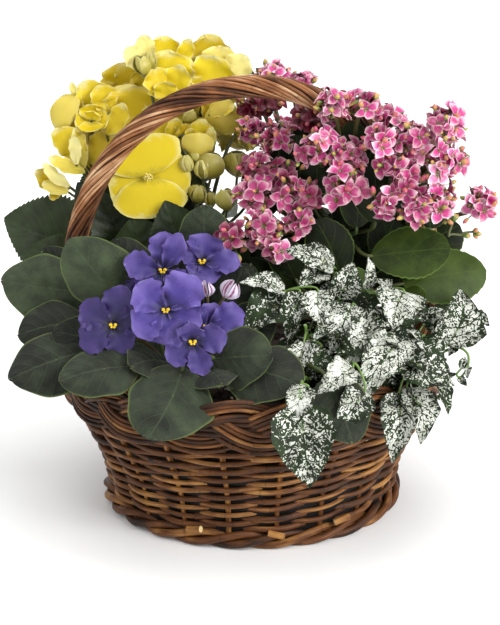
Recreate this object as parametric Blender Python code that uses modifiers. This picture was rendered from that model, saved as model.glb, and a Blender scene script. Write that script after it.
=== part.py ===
"""A woven willow basket with a bow handle, planted with an African violet, a begonia,
a kalanchoe and a polka dot plant. It stands on its flat foot at z = 0, with the handle
across X and the violet and the polka dot plant toward -Y."""

from math import atan2, cos, pi, sin

import bmesh
import bpy
from mathutils import Vector

MM = 0.001
OBJECT_NAME = "flower_basket_arrangement"

# ---- Driving dimensions, in millimetres --------------------------------------------

GAP = 0.3  # clearance that touching pieces keep
ROUND_STEPS = 36  # facets round the basket

FOOT_RADIUS = 121.0
FOOT_HEIGHT = 14.0
BASE_RADIUS = 112.0
BASE_THICKNESS = 6.0

# The woven side, as radius and height of its outer face.
WALL_OUTER = [(119.0, FOOT_HEIGHT + GAP), (123.5, 38.0), (131.0, 55.0), (140.0, 72.0), (145.5, 85.7)]
WALL_THICKNESS = 6.5

RIM_BOTTOM = 86.0
RIM_TOP = 127.5
RIM_OUTER = 151.0
RIM_INNER = 137.0

LINER_TOP = 112.0
LINER_RADIUS = 124.0
LINER_THICKNESS = 1.6
SOIL_TOP = 110.0

HANDLE_RADIUS = 9.6
HANDLE_FOOT = (134.0, 88.0)  # centre of a leg's end, as X and height
HANDLE_SPRING = (139.5, 177.0)  # where the bow starts, as X and height
HANDLE_APEX = 328.0
BOW_STEPS = 20

# Where each plant's stem rises from the soil, and its height and radius.
VIOLET_CROWN = dict(at=(-55, -62), radius=11, height=20)
BEGONIA_STEM = dict(at=(-72, 50), radius=10, height=45)
KALANCHOE_STEM = dict(at=(68, 42), radius=10, height=45)
STEM_TAPER = 0.25
STALK_RADIUS = 1.3
LEAF_THICKNESS = 1.6

# ---- Leaves -------------------------------------------------------------------------
# Each row is: height of the stalk's root above the soil, base of the blade, tip of the
# blade, width of the blade, and the way its upper side faces.

VIOLET_LEAVES = {
    "violet_leaf_1": (16, (-97, -66, 180), (-133, -74, 229), 50, (-0.25, -1.0, 0.25)),
    "violet_leaf_2": (19, (-130, -36, 184), (-188, -38, 190), 50, (0.0, -0.9, 0.5)),
    "violet_leaf_3": (12, (-128, -62, 157), (-172, -76, 152), 34, (0.0, -0.6, 0.8)),
    "violet_leaf_4": (6, (-118, -92, 138), (-172, -110, 121), 42, (-0.2, -0.5, 0.85)),
    "violet_leaf_5": (9, (-86, -116, 140), (-134, -132, 132), 36, (0.0, -0.45, 0.9)),
    "violet_leaf_6": (6, (-52, -120, 138), (-70, -172, 108), 60, (0.0, -0.75, 0.65)),
    "violet_leaf_7": (15, (-26, -112, 156), (16, -134, 163), 38, (0.1, -0.85, 0.5)),
    "violet_leaf_8": (9, (-20, -122, 137), (28, -148, 134), 40, (0.0, -0.6, 0.8)),
    "violet_leaf_9": (18, (-36, -36, 206), (-36, -32, 246), 38, (0.0, -1.0, 0.1)),
    "violet_leaf_10": (6, (54, -132, 138), (70, -160, 104), 42, (0.0, -0.75, 0.65)),
}

BEGONIA_LEAVES = {
    "begonia_leaf_1": (20, (-140, 40, 190), (-192, 48, 222), 62, (-0.1, -0.95, 0.3)),
    "begonia_leaf_2": (36, (-104, 36, 194), (-120, 38, 240), 40, (0.1, -1.0, 0.1)),
    "begonia_leaf_3": (28, (-52, 14, 190), (-66, 12, 236), 48, (0.0, -1.0, 0.1)),
    "begonia_leaf_4": (14, (-110, 100, 165), (-150, 140, 160), 64, (-0.3, 0.4, 0.85)),
    "begonia_leaf_5": (10, (-40, 110, 160), (-30, 164, 142), 66, (0.0, 0.6, 0.8)),
}

KALANCHOE_LEAVES = {
    "kalanchoe_leaf_1": (38, (100, -32, 190), (154, -32, 206), 44, (0.0, -0.9, 0.4)),
    "kalanchoe_leaf_2": (22, (118, -36, 170), (184, -28, 184), 48, (0.1, -0.85, 0.5)),
    "kalanchoe_leaf_3": (30, (68, -24, 184), (48, -22, 228), 34, (0.0, -1.0, 0.1)),
    "kalanchoe_leaf_4": (12, (92, 104, 160), (120, 150, 150), 60, (0.2, 0.5, 0.85)),
}

# ---- Flowers ------------------------------------------------------------------------
# Each row is: centre of the flower or cluster, its radius, and the way it faces.

VIOLET_FLOWERS = {
    "violet_flower_1": ((-65, -80, 203), 23, (0.0, -0.92, 0.4)),
    "violet_flower_2": ((-36, -66, 212), 23, (0.1, -0.92, 0.4)),
    "violet_flower_3": ((-62, -100, 179), 25, (0.0, -0.92, 0.4)),
    "violet_flower_4": ((-100, -99, 169), 22, (-0.1, -0.92, 0.4)),
    "violet_flower_5": ((-42, -122, 162), 18, (0.0, -0.95, 0.3)),
    "violet_flower_6": ((-31, -96, 170), 16, (0.1, -0.92, 0.4)),
}

BEGONIA_BLOOMS = {
    "begonia_bloom_1": ((-80, 23, 253), 31, (0.0, -1.0, 0.05)),
    "begonia_bloom_2": ((-66, 52, 333), 25, (0.0, -0.95, 0.3)),
    "begonia_bloom_3": ((-22, 60, 338), 24, (0.1, -0.95, 0.3)),
    "begonia_bloom_4": ((-100, 66, 314), 24, (-0.1, -0.95, 0.3)),
    "begonia_bloom_5": ((-142, 58, 300), 19, (-0.2, -0.95, 0.2)),
    "begonia_bloom_6": ((-144, 40, 270), 19, (-0.2, -0.95, 0.1)),
    "begonia_bloom_7": ((-24, 46, 296), 20, (0.1, -0.95, 0.1)),
    "begonia_buds": ((-32, 30, 263), 15, (0.0, -0.9, 0.4)),
}

KALANCHOE_HEADS = {
    "kalanchoe_flowers_1": ((18, 74, 316), 24, (0.0, -0.2, 1.0)),
    "kalanchoe_flowers_2": ((12, 30, 281), 23, (-0.1, -0.4, 0.9)),
    "kalanchoe_flowers_3": ((80, -36, 312), 25, (0.0, -0.4, 0.9)),
    "kalanchoe_flowers_4": ((130, -36, 288), 29, (0.2, -0.4, 0.9)),
    "kalanchoe_flowers_5": ((16, -14, 250), 22, (-0.1, -0.6, 0.8)),
    "kalanchoe_flowers_6": ((54, -30, 272), 22, (0.0, -0.5, 0.85)),
    "kalanchoe_flowers_7": ((118, -46, 246), 24, (0.1, -0.6, 0.8)),
    "kalanchoe_flowers_8": ((172, 6, 230), 16, (0.4, -0.4, 0.8)),
    "kalanchoe_flowers_9": ((0, -42, 224), 16, (-0.2, -0.8, 0.6)),
}

# ---- Polka dot plant ----------------------------------------------------------------
# Each shoot is a stem through its points, and its leaves as: how far along the stem the
# leaf grows (0 to 1), base of the blade, tip of the blade, width, facing.

SHOOTS = {
    "polka_dot_shoot_1": (
        [(50, -50), (56, -52, 150), (62, -50, 196)],
        [
            (0.9, (52, -52, 203), (26, -54, 214), 26, (0.1, -0.8, 0.6)),
            (0.8, (72, -62, 188), (78, -60, 210), 20, (0.2, -0.9, 0.2)),
            (0.7, (52, -66, 186), (36, -74, 194), 22, (0.0, -0.9, 0.4)),
        ],
    ),
    "polka_dot_shoot_2": (
        [(34, -64), (28, -68, 150), (22, -74, 178)],
        [
            (0.95, (14, -76, 184), (-10, -80, 190), 24, (0.0, -0.9, 0.4)),
            (0.75, (22, -86, 176), (-6, -96, 172), 24, (0.0, -0.8, 0.6)),
        ],
    ),
    "polka_dot_shoot_3": (
        [(58, -68), (72, -80, 140), (84, -92, 162)],
        [
            (0.95, (86, -98, 168), (56, -104, 160), 26, (0.0, -0.8, 0.6)),
            (0.8, (84, -104, 160), (68, -118, 142), 22, (0.0, -0.8, 0.6)),
        ],
    ),
    "polka_dot_shoot_4": (
        [(72, -56), (94, -62, 150), (104, -66, 182)],
        [
            (0.95, (112, -72, 188), (106, -86, 166), 24, (0.1, -0.9, 0.4)),
            (0.8, (118, -72, 168), (144, -76, 160), 24, (0.1, -0.8, 0.6)),
        ],
    ),
    "polka_dot_shoot_5": (
        [(84, -44), (122, -52, 140), (146, -50, 138)],
        [
            (0.95, (152, -50, 142), (160, -54, 174), 32, (0.1, -1.0, 0.3)),
            (0.7, (132, -70, 144), (134, -96, 122), 24, (0.1, -0.8, 0.6)),
        ],
    ),
    "polka_dot_shoot_6": (
        [(70, -76), (92, -96, 142), (111, -109, 134)],
        [
            (0.95, (120, -114, 124), (101, -138, 84), 32, (0.1, -0.9, 0.4)),
            (0.7, (100, -112, 142), (80, -128, 128), 22, (0.0, -0.8, 0.6)),
        ],
    ),
    "polka_dot_shoot_7": (
        [(46, -80), (38, -118, 142), (34, -148, 140)],
        [
            (0.97, (29, -160, 130), (35, -172, 78), 36, (0.0, -1.0, 0.2)),
            (0.85, (50, -146, 146), (62, -158, 124), 26, (0.1, -0.85, 0.5)),
        ],
    ),
}

# ---- Colours: base colour, roughness ------------------------------------------------

FINISHES = {
    "willow": ((0.16, 0.08, 0.035), 0.65),
    "handle_willow": ((0.21, 0.10, 0.05), 0.45),
    "liner_plastic": ((0.03, 0.04, 0.03), 0.5),
    "potting_soil": ((0.035, 0.022, 0.015), 0.95),
    "plant_stem": ((0.10, 0.16, 0.05), 0.6),
    "violet_leaf": ((0.05, 0.09, 0.045), 0.7),
    "violet_petal": ((0.10, 0.05, 0.38), 0.6),
    "begonia_leaf": ((0.03, 0.08, 0.02), 0.5),
    "begonia_petal": ((0.80, 0.68, 0.04), 0.5),
    "kalanchoe_leaf": ((0.06, 0.12, 0.03), 0.4),
    "kalanchoe_petal": ((0.72, 0.11, 0.36), 0.5),
    "polka_dot_leaf": ((0.55, 0.58, 0.50), 0.5),
}


# ---- Scene and materials ------------------------------------------------------------


def clear_scene():
    for obj in list(bpy.data.objects):
        bpy.data.objects.remove(obj, do_unlink=True)


def new_collection(name, hidden=False):
    collection = bpy.data.collections.new(name)
    bpy.context.scene.collection.children.link(collection)
    collection.hide_render = hidden
    return collection


def material(name):
    found = bpy.data.materials.get(name)
    if found:
        return found
    colour, roughness = FINISHES[name]
    made = bpy.data.materials.new(name)
    made.use_nodes = True
    shader = made.node_tree.nodes["Principled BSDF"]
    shader.inputs["Base Color"].default_value = (*colour, 1.0)
    shader.inputs["Roughness"].default_value = roughness
    shader.inputs["Metallic"].default_value = 0.0
    return made


def add_object(name, data, finish, collection):
    obj = bpy.data.objects.new(name, data)
    obj.data.materials.append(material(finish))
    collection.objects.link(obj)
    return obj


def metres(point):
    return Vector(point) * MM


# ---- Basket -------------------------------------------------------------------------


def turned(name, profile, finish, collection):
    """A ring or bowl turned about Z from a closed outline of (radius, height) points."""
    mesh = bpy.data.meshes.new(name)
    bm = bmesh.new()
    corners = [bm.verts.new((r * MM, 0.0, z * MM)) for r, z in profile]
    pairs = list(zip(corners, corners[1:]))
    on_axis = profile[0][0] == 0.0 and profile[-1][0] == 0.0
    if not on_axis:
        pairs.append((corners[-1], corners[0]))
    for first, second in pairs:
        bm.edges.new((first, second))
    bm.to_mesh(mesh)
    bm.free()
    obj = add_object(name, mesh, finish, collection)
    screw = obj.modifiers.new("turn", "SCREW")
    screw.steps = ROUND_STEPS
    screw.render_steps = ROUND_STEPS
    screw.use_merge_vertices = True
    screw.merge_threshold = 0.00005
    return obj


def inner_wall():
    """The woven side's inner face, as (radius, height) from bottom to top."""
    return [(r - WALL_THICKNESS, z) for r, z in WALL_OUTER]


def handle_points():
    """The bow's centre line: a leg, half an ellipse, a leg."""
    foot_x, foot_z = HANDLE_FOOT
    spring_x, spring_z = HANDLE_SPRING
    leg = [(foot_x, foot_z), ((foot_x + spring_x) / 2 + 0.5, (foot_z + spring_z) / 2)]
    bow = []
    for i in range(BOW_STEPS + 1):
        angle = pi * i / BOW_STEPS
        bow.append((spring_x * cos(angle), spring_z + (HANDLE_APEX - spring_z) * sin(angle)))
    other_leg = [(-x, z) for x, z in reversed(leg)]
    return [metres((x, 0, z)) for x, z in leg + bow + other_leg]


def tube(name, points, radii, finish, collection, sides=8):
    """A round stem or rod along points, in metres, with a radius in millimetres at each."""
    curve = bpy.data.curves.new(name, "CURVE")
    curve.dimensions = "3D"
    curve.bevel_depth = MM
    curve.bevel_resolution = sides // 2 - 2
    curve.use_fill_caps = True
    spline = curve.splines.new("POLY")
    spline.points.add(len(points) - 1)
    for knot, point, radius in zip(spline.points, points, radii):
        knot.co = (*point, 1.0)
        knot.radius = radius
    return add_object(name, curve, finish, collection)


def as_mesh(obj, collection):
    """The same solid as a mesh with its caps welded, so that it can be cut or joined."""
    graph = bpy.context.evaluated_depsgraph_get()
    name = obj.name
    mesh = bpy.data.meshes.new_from_object(obj.evaluated_get(graph))
    bm = bmesh.new()
    bm.from_mesh(mesh)
    bmesh.ops.remove_doubles(bm, verts=bm.verts, dist=0.00001)
    bm.to_mesh(mesh)
    bm.free()
    world = obj.matrix_world.copy()
    bpy.data.objects.remove(obj, do_unlink=True)
    made = bpy.data.objects.new(name, mesh)
    made.matrix_world = world
    collection.objects.link(made)
    return made


def build_basket(parts, cutters):
    foot_inner = BASE_RADIUS + GAP
    turned(
        "basket_base",
        [(0, BASE_THICKNESS), (BASE_RADIUS, BASE_THICKNESS), (BASE_RADIUS, 0), (0, 0)],
        "willow",
        parts,
    )
    turned(
        "foot_border",
        [
            (foot_inner, FOOT_HEIGHT),
            (FOOT_RADIUS - 2, FOOT_HEIGHT),
            (FOOT_RADIUS, FOOT_HEIGHT - 3),
            (FOOT_RADIUS, 3),
            (FOOT_RADIUS - 2, 0),
            (foot_inner, 0),
        ],
        "willow",
        parts,
    )
    turned("basket_wall", WALL_OUTER[::-1] + inner_wall(), "willow", parts)
    rim = turned(
        "rim_border",
        [
            (RIM_INNER + 3, RIM_TOP),
            (RIM_OUTER - 5, RIM_TOP),
            (RIM_OUTER - 1, RIM_TOP - 6),
            (RIM_OUTER, RIM_TOP - 18),
            (RIM_OUTER - 1, RIM_BOTTOM + 8),
            (RIM_OUTER - 5, RIM_BOTTOM),
            (RIM_INNER, RIM_BOTTOM),
            (RIM_INNER, RIM_TOP - 4),
        ],
        "willow",
        parts,
    )
    bow = handle_points()
    tube("handle", bow, [HANDLE_RADIUS] * len(bow), "handle_willow", parts, sides=12)
    # The legs stand in two open grooves in the border's inner side.
    below = [bow[0] - metres((0, 0, 8))]
    above = [bow[-1] - metres((0, 0, 8))]
    wide = [HANDLE_RADIUS + GAP * 1.6] * (len(bow) + 2)
    groove = as_mesh(
        tube("handle_groove", below + bow + above, wide, "handle_willow", cutters, sides=12),
        cutters,
    )
    groove.hide_render = True
    groove.display_type = "WIRE"
    cut = rim.modifiers.new("handle grooves", "BOOLEAN")
    cut.operation = "DIFFERENCE"
    cut.object = groove


def build_filling(parts):
    bottom = BASE_THICKNESS + GAP
    floor = bottom + LINER_THICKNESS
    against_wall = [(r - GAP, z) for r, z in inner_wall()[:3]]
    liner_outer = [(BASE_RADIUS - GAP, bottom), *against_wall, (LINER_RADIUS, LINER_TOP)]
    liner_inner = [(r - LINER_THICKNESS, max(z, floor)) for r, z in liner_outer]
    bowl = [*liner_outer[::-1], (0, bottom)]
    turned("liner", [(0, floor), *liner_inner, *bowl], "liner_plastic", parts)
    soil_side = [(r - GAP, z) for r, z in liner_inner[:-1]]
    soil_side[0] = (soil_side[0][0], floor + GAP)
    top_radius = LINER_RADIUS - LINER_THICKNESS - GAP * 2
    outline = [(0, SOIL_TOP), (top_radius - 6, SOIL_TOP), (top_radius, SOIL_TOP - 4)]
    turned("potting_soil", [*outline, *soil_side[::-1], (0, floor + GAP)], "potting_soil", parts)


# ---- Plants -------------------------------------------------------------------------


def plant_stem(name, plan, parts):
    """A short tapering stem that stands on the soil."""
    bm = bmesh.new()
    bmesh.ops.create_cone(
        bm,
        cap_ends=True,
        segments=12,
        radius1=plan["radius"] * MM,
        radius2=plan["radius"] * (1 - STEM_TAPER) * MM,
        depth=plan["height"] * MM,
    )
    mesh = bpy.data.meshes.new(name)
    bm.to_mesh(mesh)
    bm.free()
    obj = add_object(name, mesh, "plant_stem", parts)
    x, y = plan["at"]
    obj.location = metres((x, y, SOIL_TOP + GAP + plan["height"] / 2))
    return obj


def on_stem(plan, height, toward):
    """The point just off a stem's side, at this height above the soil, on the side of a target."""
    x, y = plan["at"]
    away = Vector((toward[0] - x, toward[1] - y, 0)).normalized()
    radius = plan["radius"] * (1 - STEM_TAPER * height / plan["height"])
    return Vector((x, y, SOIL_TOP + height)) + away * (radius + GAP + LEAF_THICKNESS * 0.35)


def stem_tops(plan, blooms):
    """Where each flower stalk stands on the stem's top, side by side in the order they fan out."""
    x, y = plan["at"]
    ring = plan["radius"] * (1 - STEM_TAPER) - STALK_RADIUS * 0.6
    bearing = {name: atan2(row[0][1] - y, row[0][0] - x) for name, row in blooms.items()}
    # The fan opens at the back, where no flower leans.
    bearing = {name: angle - 2 * pi if angle > pi / 2 else angle for name, angle in bearing.items()}
    roots = {}
    last = -4 * pi
    for name in sorted(bearing, key=bearing.get):
        last = max(bearing[name], last + 2.5 * STALK_RADIUS / ring)
        roots[name] = (x + ring * cos(last), y + ring * sin(last), SOIL_TOP + plan["height"] + 2 * GAP)
    return roots


def hermite(start, start_pull, end, end_pull, t):
    """A point on the smooth curve that leaves start and reaches end with these pulls."""
    a = 2 * t**3 - 3 * t**2 + 1
    b = t**3 - 2 * t**2 + t
    c = -2 * t**3 + 3 * t**2
    d = t**3 - t**2
    return start * a + start_pull * b + end * c + end_pull * d


def round_outline(t):
    return sin(pi * t**0.8) ** 0.55


def pointed_outline(t):
    return sin(pi * t**0.62) ** 0.9


def oblong_outline(t):
    return sin(pi * t**1.15) ** 0.5


def leaf(name, root, base, tip, width, facing, outline, finish, parts, stalk=1.4):
    """A leaf with its stalk: one strip, narrow along the stalk, wide over the blade."""
    stalk_steps, blade_steps = 4, 7
    root, base, tip = Vector(root), Vector(base), Vector(tip)
    along = (tip - base).normalized()
    length = (tip - base).length
    side = along.cross(Vector(facing)).normalized()
    up = side.cross(along)
    reach = (base - root).length
    leave = (Vector((base.x - root.x, base.y - root.y, 0)).normalized() + Vector((0, 0, 0.9))) * reach
    arrive = along * reach
    bm = bmesh.new()
    bmesh.ops.create_grid(bm, x_segments=stalk_steps + blade_steps, y_segments=2, size=1.0)
    for corner in bm.verts:
        step = round((corner.co.x + 1) / 2 * (stalk_steps + blade_steps))
        across = corner.co.y
        if step < stalk_steps:
            t = step / stalk_steps
            centre = hermite(root, leave, base, arrive, t)
            ahead = hermite(root, leave, base, arrive, t + 0.02) - centre
            ahead.normalize()
            way = (side - ahead * side.dot(ahead)).normalized()
            point = centre + way * across * stalk
        else:
            t = (step - stalk_steps) / blade_steps
            half = max(outline(min(max(t, 0.0001), 0.9999)) * width / 2, stalk if t < 0.5 else 0.8)
            arch = length * 0.07 * sin(pi * t)
            point = base + along * length * t + up * arch + side * across * half
            point += up * abs(across) * half * 0.12
        corner.co = point * MM
    mesh = bpy.data.meshes.new(name)
    bm.to_mesh(mesh)
    bm.free()
    obj = add_object(name, mesh, finish, parts)
    shell = obj.modifiers.new("thickness", "SOLIDIFY")
    shell.thickness = LEAF_THICKNESS * MM
    shell.offset = 0.0
    return obj


def bloom(name, root, centre, facing, section, finish, parts, sides=8):
    """A flower or cluster on its stalk. section lists (distance along the facing, radius)."""
    root, centre = Vector(root), Vector(centre)
    facing = Vector(facing).normalized()
    behind = centre + facing * section[0][0]
    start = root + Vector((0, 0, 3))
    reach = (behind - start).length
    outward = Vector((behind.x - root.x, behind.y - root.y, 0)) / reach
    leave = (Vector((0, 0, 1)) + outward * 0.6) * reach
    arrive = facing * reach * 0.7
    steps = 5
    points = [root] + [hermite(start, leave, behind, arrive, i / steps) for i in range(steps)]
    radii = [STALK_RADIUS] * len(points)
    for distance, radius in section:
        points.append(centre + facing * distance)
        radii.append(radius)
    return tube(name, [p * MM for p in points], radii, finish, parts, sides)


def flat_section(radius, thickness):
    half = thickness / 2
    return [(-half * 2.4, 1.3), (-half, radius * 0.55), (0, radius), (half, radius * 0.8)]


def cup_section(radius, depth):
    return [(-depth, 2.0), (-depth * 0.7, radius * 0.6), (0, radius), (depth * 0.25, radius * 0.8)]


def dome_section(radius):
    return [
        (-radius * 0.75, 1.6),
        (-radius * 0.45, radius * 0.7),
        (0, radius),
        (radius * 0.4, radius * 0.8),
        (radius * 0.62, radius * 0.35),
    ]


def build_violet(parts):
    plant_stem("violet_crown", VIOLET_CROWN, parts)
    for name, (height, base, tip, width, facing) in VIOLET_LEAVES.items():
        root = on_stem(VIOLET_CROWN, height, base)
        leaf(name, root, base, tip, width, facing, round_outline, "violet_leaf", parts)
    roots = stem_tops(VIOLET_CROWN, VIOLET_FLOWERS)
    for name, (centre, radius, facing) in VIOLET_FLOWERS.items():
        section = flat_section(radius, 2.4)
        bloom(name, roots[name], centre, facing, section, "violet_petal", parts)


def build_begonia(parts):
    plant_stem("begonia_stem", BEGONIA_STEM, parts)
    for name, (height, base, tip, width, facing) in BEGONIA_LEAVES.items():
        root = on_stem(BEGONIA_STEM, height, base)
        leaf(name, root, base, tip, width, facing, round_outline, "begonia_leaf", parts)
    roots = stem_tops(BEGONIA_STEM, BEGONIA_BLOOMS)
    for name, (centre, radius, facing) in BEGONIA_BLOOMS.items():
        section = cup_section(radius, 9)
        bloom(name, roots[name], centre, facing, section, "begonia_petal", parts)


def build_kalanchoe(parts):
    plant_stem("kalanchoe_stem", KALANCHOE_STEM, parts)
    for name, (height, base, tip, width, facing) in KALANCHOE_LEAVES.items():
        root = on_stem(KALANCHOE_STEM, height, base)
        leaf(name, root, base, tip, width, facing, oblong_outline, "kalanchoe_leaf", parts)
    roots = stem_tops(KALANCHOE_STEM, KALANCHOE_HEADS)
    for name, (centre, radius, facing) in KALANCHOE_HEADS.items():
        section = dome_section(radius)
        bloom(name, roots[name], centre, facing, section, "kalanchoe_petal", parts)


def build_polka_dot(parts, cutters):
    for name, (route, leaves) in SHOOTS.items():
        start = Vector((*route[0], SOIL_TOP + GAP))
        middle, end = Vector(route[1]), Vector(route[2])
        steps = 6
        rise = start + Vector((0, 0, 4))
        points = [start]
        for i in range(steps + 1):
            t = i / steps
            points.append(rise * (1 - t) ** 2 + middle * 2 * t * (1 - t) + end * t**2)
        radii = [2.0] * len(points)
        stem = as_mesh(tube(name, [p * MM for p in points], radii, "plant_stem", cutters), parts)
        stem.name = name
        stem.data.materials.append(material("polka_dot_leaf"))
        for i, (along, base, tip, width, facing) in enumerate(leaves):
            root = points[1 + round(along * steps)]
            blade = leaf(
                f"{name}_leaf_{i + 1}",
                root,
                base,
                tip,
                width,
                facing,
                pointed_outline,
                "polka_dot_leaf",
                cutters,
                stalk=1.1,
            )
            blade.hide_render = True
            blade.display_type = "WIRE"
            join = stem.modifiers.new(f"leaf {i + 1}", "BOOLEAN")
            join.operation = "UNION"
            join.object = blade


def main():
    clear_scene()
    parts = new_collection(OBJECT_NAME)
    cutters = new_collection("cutters", hidden=True)
    build_basket(parts, cutters)
    build_filling(parts)
    build_violet(parts)
    build_begonia(parts)
    build_kalanchoe(parts)
    build_polka_dot(parts, cutters)


main()
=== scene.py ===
"""A woven willow basket with a bow handle, planted with an African violet, a yellow begonia,
a pink kalanchoe and a polka dot plant, standing on a pale studio floor.

It is laid out as an add-on: the sizes and colours that a florist would change are
properties, each piece has an operator, and a panel in the 3D view's sidebar lists them.
Places are in millimetres in the basket's own frame: Z up, the bow across X, front at -Y."""

from dataclasses import dataclass, replace
from math import cos, pi, radians, sin
from types import SimpleNamespace

import bpy
import numpy as np
from bpy.props import FloatProperty, FloatVectorProperty, IntProperty, PointerProperty
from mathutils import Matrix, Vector


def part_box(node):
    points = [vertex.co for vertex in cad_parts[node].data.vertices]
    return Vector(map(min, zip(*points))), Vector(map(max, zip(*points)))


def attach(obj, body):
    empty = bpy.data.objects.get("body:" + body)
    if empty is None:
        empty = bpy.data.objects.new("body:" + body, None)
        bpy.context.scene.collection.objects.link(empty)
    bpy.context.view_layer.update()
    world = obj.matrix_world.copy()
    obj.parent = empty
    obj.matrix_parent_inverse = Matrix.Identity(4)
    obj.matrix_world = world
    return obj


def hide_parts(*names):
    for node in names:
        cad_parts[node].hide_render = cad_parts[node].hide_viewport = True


bl_info = {
    "name": "Flower Basket Arrangement",
    "version": (1, 0, 0),
    "blender": (4, 5, 0),
    "location": "View3D > Sidebar > Basket",
    "description": "Weaves a willow basket and plants it with four flowering and foliage plants",
    "category": "Add Mesh",
}

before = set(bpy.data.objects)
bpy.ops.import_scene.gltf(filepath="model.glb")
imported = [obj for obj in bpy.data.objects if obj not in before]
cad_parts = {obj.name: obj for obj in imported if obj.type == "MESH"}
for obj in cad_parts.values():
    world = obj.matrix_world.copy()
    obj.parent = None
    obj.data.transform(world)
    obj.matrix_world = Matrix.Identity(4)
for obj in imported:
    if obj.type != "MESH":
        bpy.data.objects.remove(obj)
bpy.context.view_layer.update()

MM = 0.001
BODY = "root"
SIDEBAR = "Basket"
UPWARD = (0, 0, 1)
# A blade's edge and a rod's end are creases, and the sides of a thin rod are not.
CREASE = radians(75)


def linear(code):
    """The linear RGB of an sRGB hex colour such as "#7a4a26"."""
    channels = [int(code[i : i + 2], 16) / 255 for i in (1, 3, 5)]
    return tuple(c / 12.92 if c <= 0.04045 else ((c + 0.055) / 1.055) ** 2.4 for c in channels)


def size_of(node):
    """The lowest and highest corner of a solid, in millimetres."""
    low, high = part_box(node)
    return np.array(low) / MM, np.array(high) / MM


def outline_of(node):
    """Heights and outer radii of a turned solid, in millimetres, from the bottom up."""
    points = np.array([v.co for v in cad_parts[node].data.vertices]) / MM
    heights = np.round(points[:, 2], 1)
    radii = np.hypot(points[:, 0], points[:, 1])
    levels = np.unique(heights)
    return levels, np.array([radii[heights == level].max() for level in levels])


# ---- Settings ------------------------------------------------------------------------


def length(name, description, default):
    """A property for a length, kept in metres and given in millimetres."""
    return FloatProperty(name=name, description=description, default=default * MM, unit="LENGTH")


def colour(name, description, code):
    """A property for a colour, given as an sRGB hex code."""
    return FloatVectorProperty(
        name=name, description=description, default=linear(code), subtype="COLOR", min=0, max=1
    )


class BasketSettings(bpy.types.PropertyGroup):
    rod: length("Rod", "Thickness of a weaving rod at its middle", 4.1)
    stake: length("Stake", "Thickness of the upright stakes", 4.2)
    row_pitch: length("Row pitch", "Height from one woven row to the next", 3.9)
    stakes: IntProperty(name="Stakes", description="Upright stakes round the side", default=20)
    plait_turns: IntProperty(name="Plait turns", description="Repeats round the rim", default=6)
    handle_pitch: length("Handle pitch", "Length of one full turn of the handle's rods", 150)
    dark: colour("Dark willow", "Bark of the darkest rods", "#26150a")
    middle: colour("Brown willow", "Bark of most rods", "#623a1c")
    light: colour("Golden willow", "Bark of the lightest rods", "#aa7a42")
    cut: colour("Cut wood", "Bare wood where a rod is cut", "#d8bf8a")
    handle_bark: colour("Handle bark", "Bark of the handle's rods", "#8f5b36")


class StageSettings(bpy.types.PropertyGroup):
    distance: length("Distance", "From the basket's axis to the camera, along the floor", 1100)
    height: length("Height", "Height of the camera", 460)
    aside: length("Aside", "How far right of the middle the camera stands and looks", -1.6)
    aim: length("Aim", "Height that the camera looks at", 150)
    lens: FloatProperty(name="Lens", description="Focal length in millimetres", default=83.3)
    floor: colour("Floor", "Painted floor", "#f4f4f4")


# ---- Meshes --------------------------------------------------------------------------


class Shape:
    """The points and faces of one piece, in millimetres, gathered before they become a mesh.

    Each point carries two values that a material reads: tone, which differs from one rod or
    leaf to the next, and under, which is 1 on the underside of a blade and 0 elsewhere."""

    def __init__(self):
        self.points = []
        self.quads = []
        self.corners = []
        self.caps = []
        self.tone = []
        self.under = []
        self.count = 0

    def add(self, points, quads, uv, tone=0.5, under=0.0):
        size = len(points)
        self.points.append(points)
        self.quads.append(quads + self.count)
        self.corners.append(uv)
        self.tone.append(np.broadcast_to(np.float32(tone), (size,)))
        self.under.append(np.broadcast_to(np.float32(under), (size,)))
        self.count += size

    def stamp(self, other, turn, place, tone=None):
        """Adds a turned, scaled and moved copy of another shape."""
        points = np.concatenate(other.points) @ turn.T + place
        tones = np.concatenate(other.tone) if tone is None else tone
        first = self.count
        quads, corners = np.concatenate(other.quads), np.concatenate(other.corners)
        self.add(points, quads, corners, tones, np.concatenate(other.under))
        self.caps.extend([i + first for i in cap] for cap in other.caps)

    def cap(self, indices):
        """A flat end over points that were just added."""
        self.caps.append([int(i) for i in indices])

    def build(self, name, material, slot, replaced=()):
        """Makes the piece and hides the solids that it stands for. The slot it is given is not
        used.
        """
        points = np.concatenate(self.points) * MM
        quads = np.concatenate(self.quads)
        mesh = bpy.data.meshes.new(name)
        mesh.from_pydata(points.tolist(), [], quads.tolist() + self.caps)
        layer = mesh.uv_layers.new(name="surface")
        corners = np.concatenate(self.corners).reshape(-1, 2)
        ends = np.tile((0.5, -1.0), (sum(len(c) for c in self.caps), 1))
        layer.data.foreach_set("uv", np.concatenate([corners, ends]).astype(np.float32).ravel())
        for label, values in (("tone", self.tone), ("under", self.under)):
            spread = mesh.attributes.new(label, "FLOAT", "POINT")
            spread.data.foreach_set("value", np.concatenate(values).astype(np.float32))
        mesh.polygons.foreach_set("use_smooth", [True] * len(quads) + [False] * len(self.caps))
        mesh.materials.append(material)
        mesh.validate()
        mesh.set_sharp_from_angle(angle=CREASE)
        piece = bpy.data.objects.new(name, mesh)
        bpy.context.scene.collection.objects.link(piece)
        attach(piece, BODY)
        if replaced:
            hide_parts(*replaced)
        return piece


def unit(vectors):
    return vectors / np.maximum(np.linalg.norm(vectors, axis=-1, keepdims=True), 1e-9)


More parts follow.
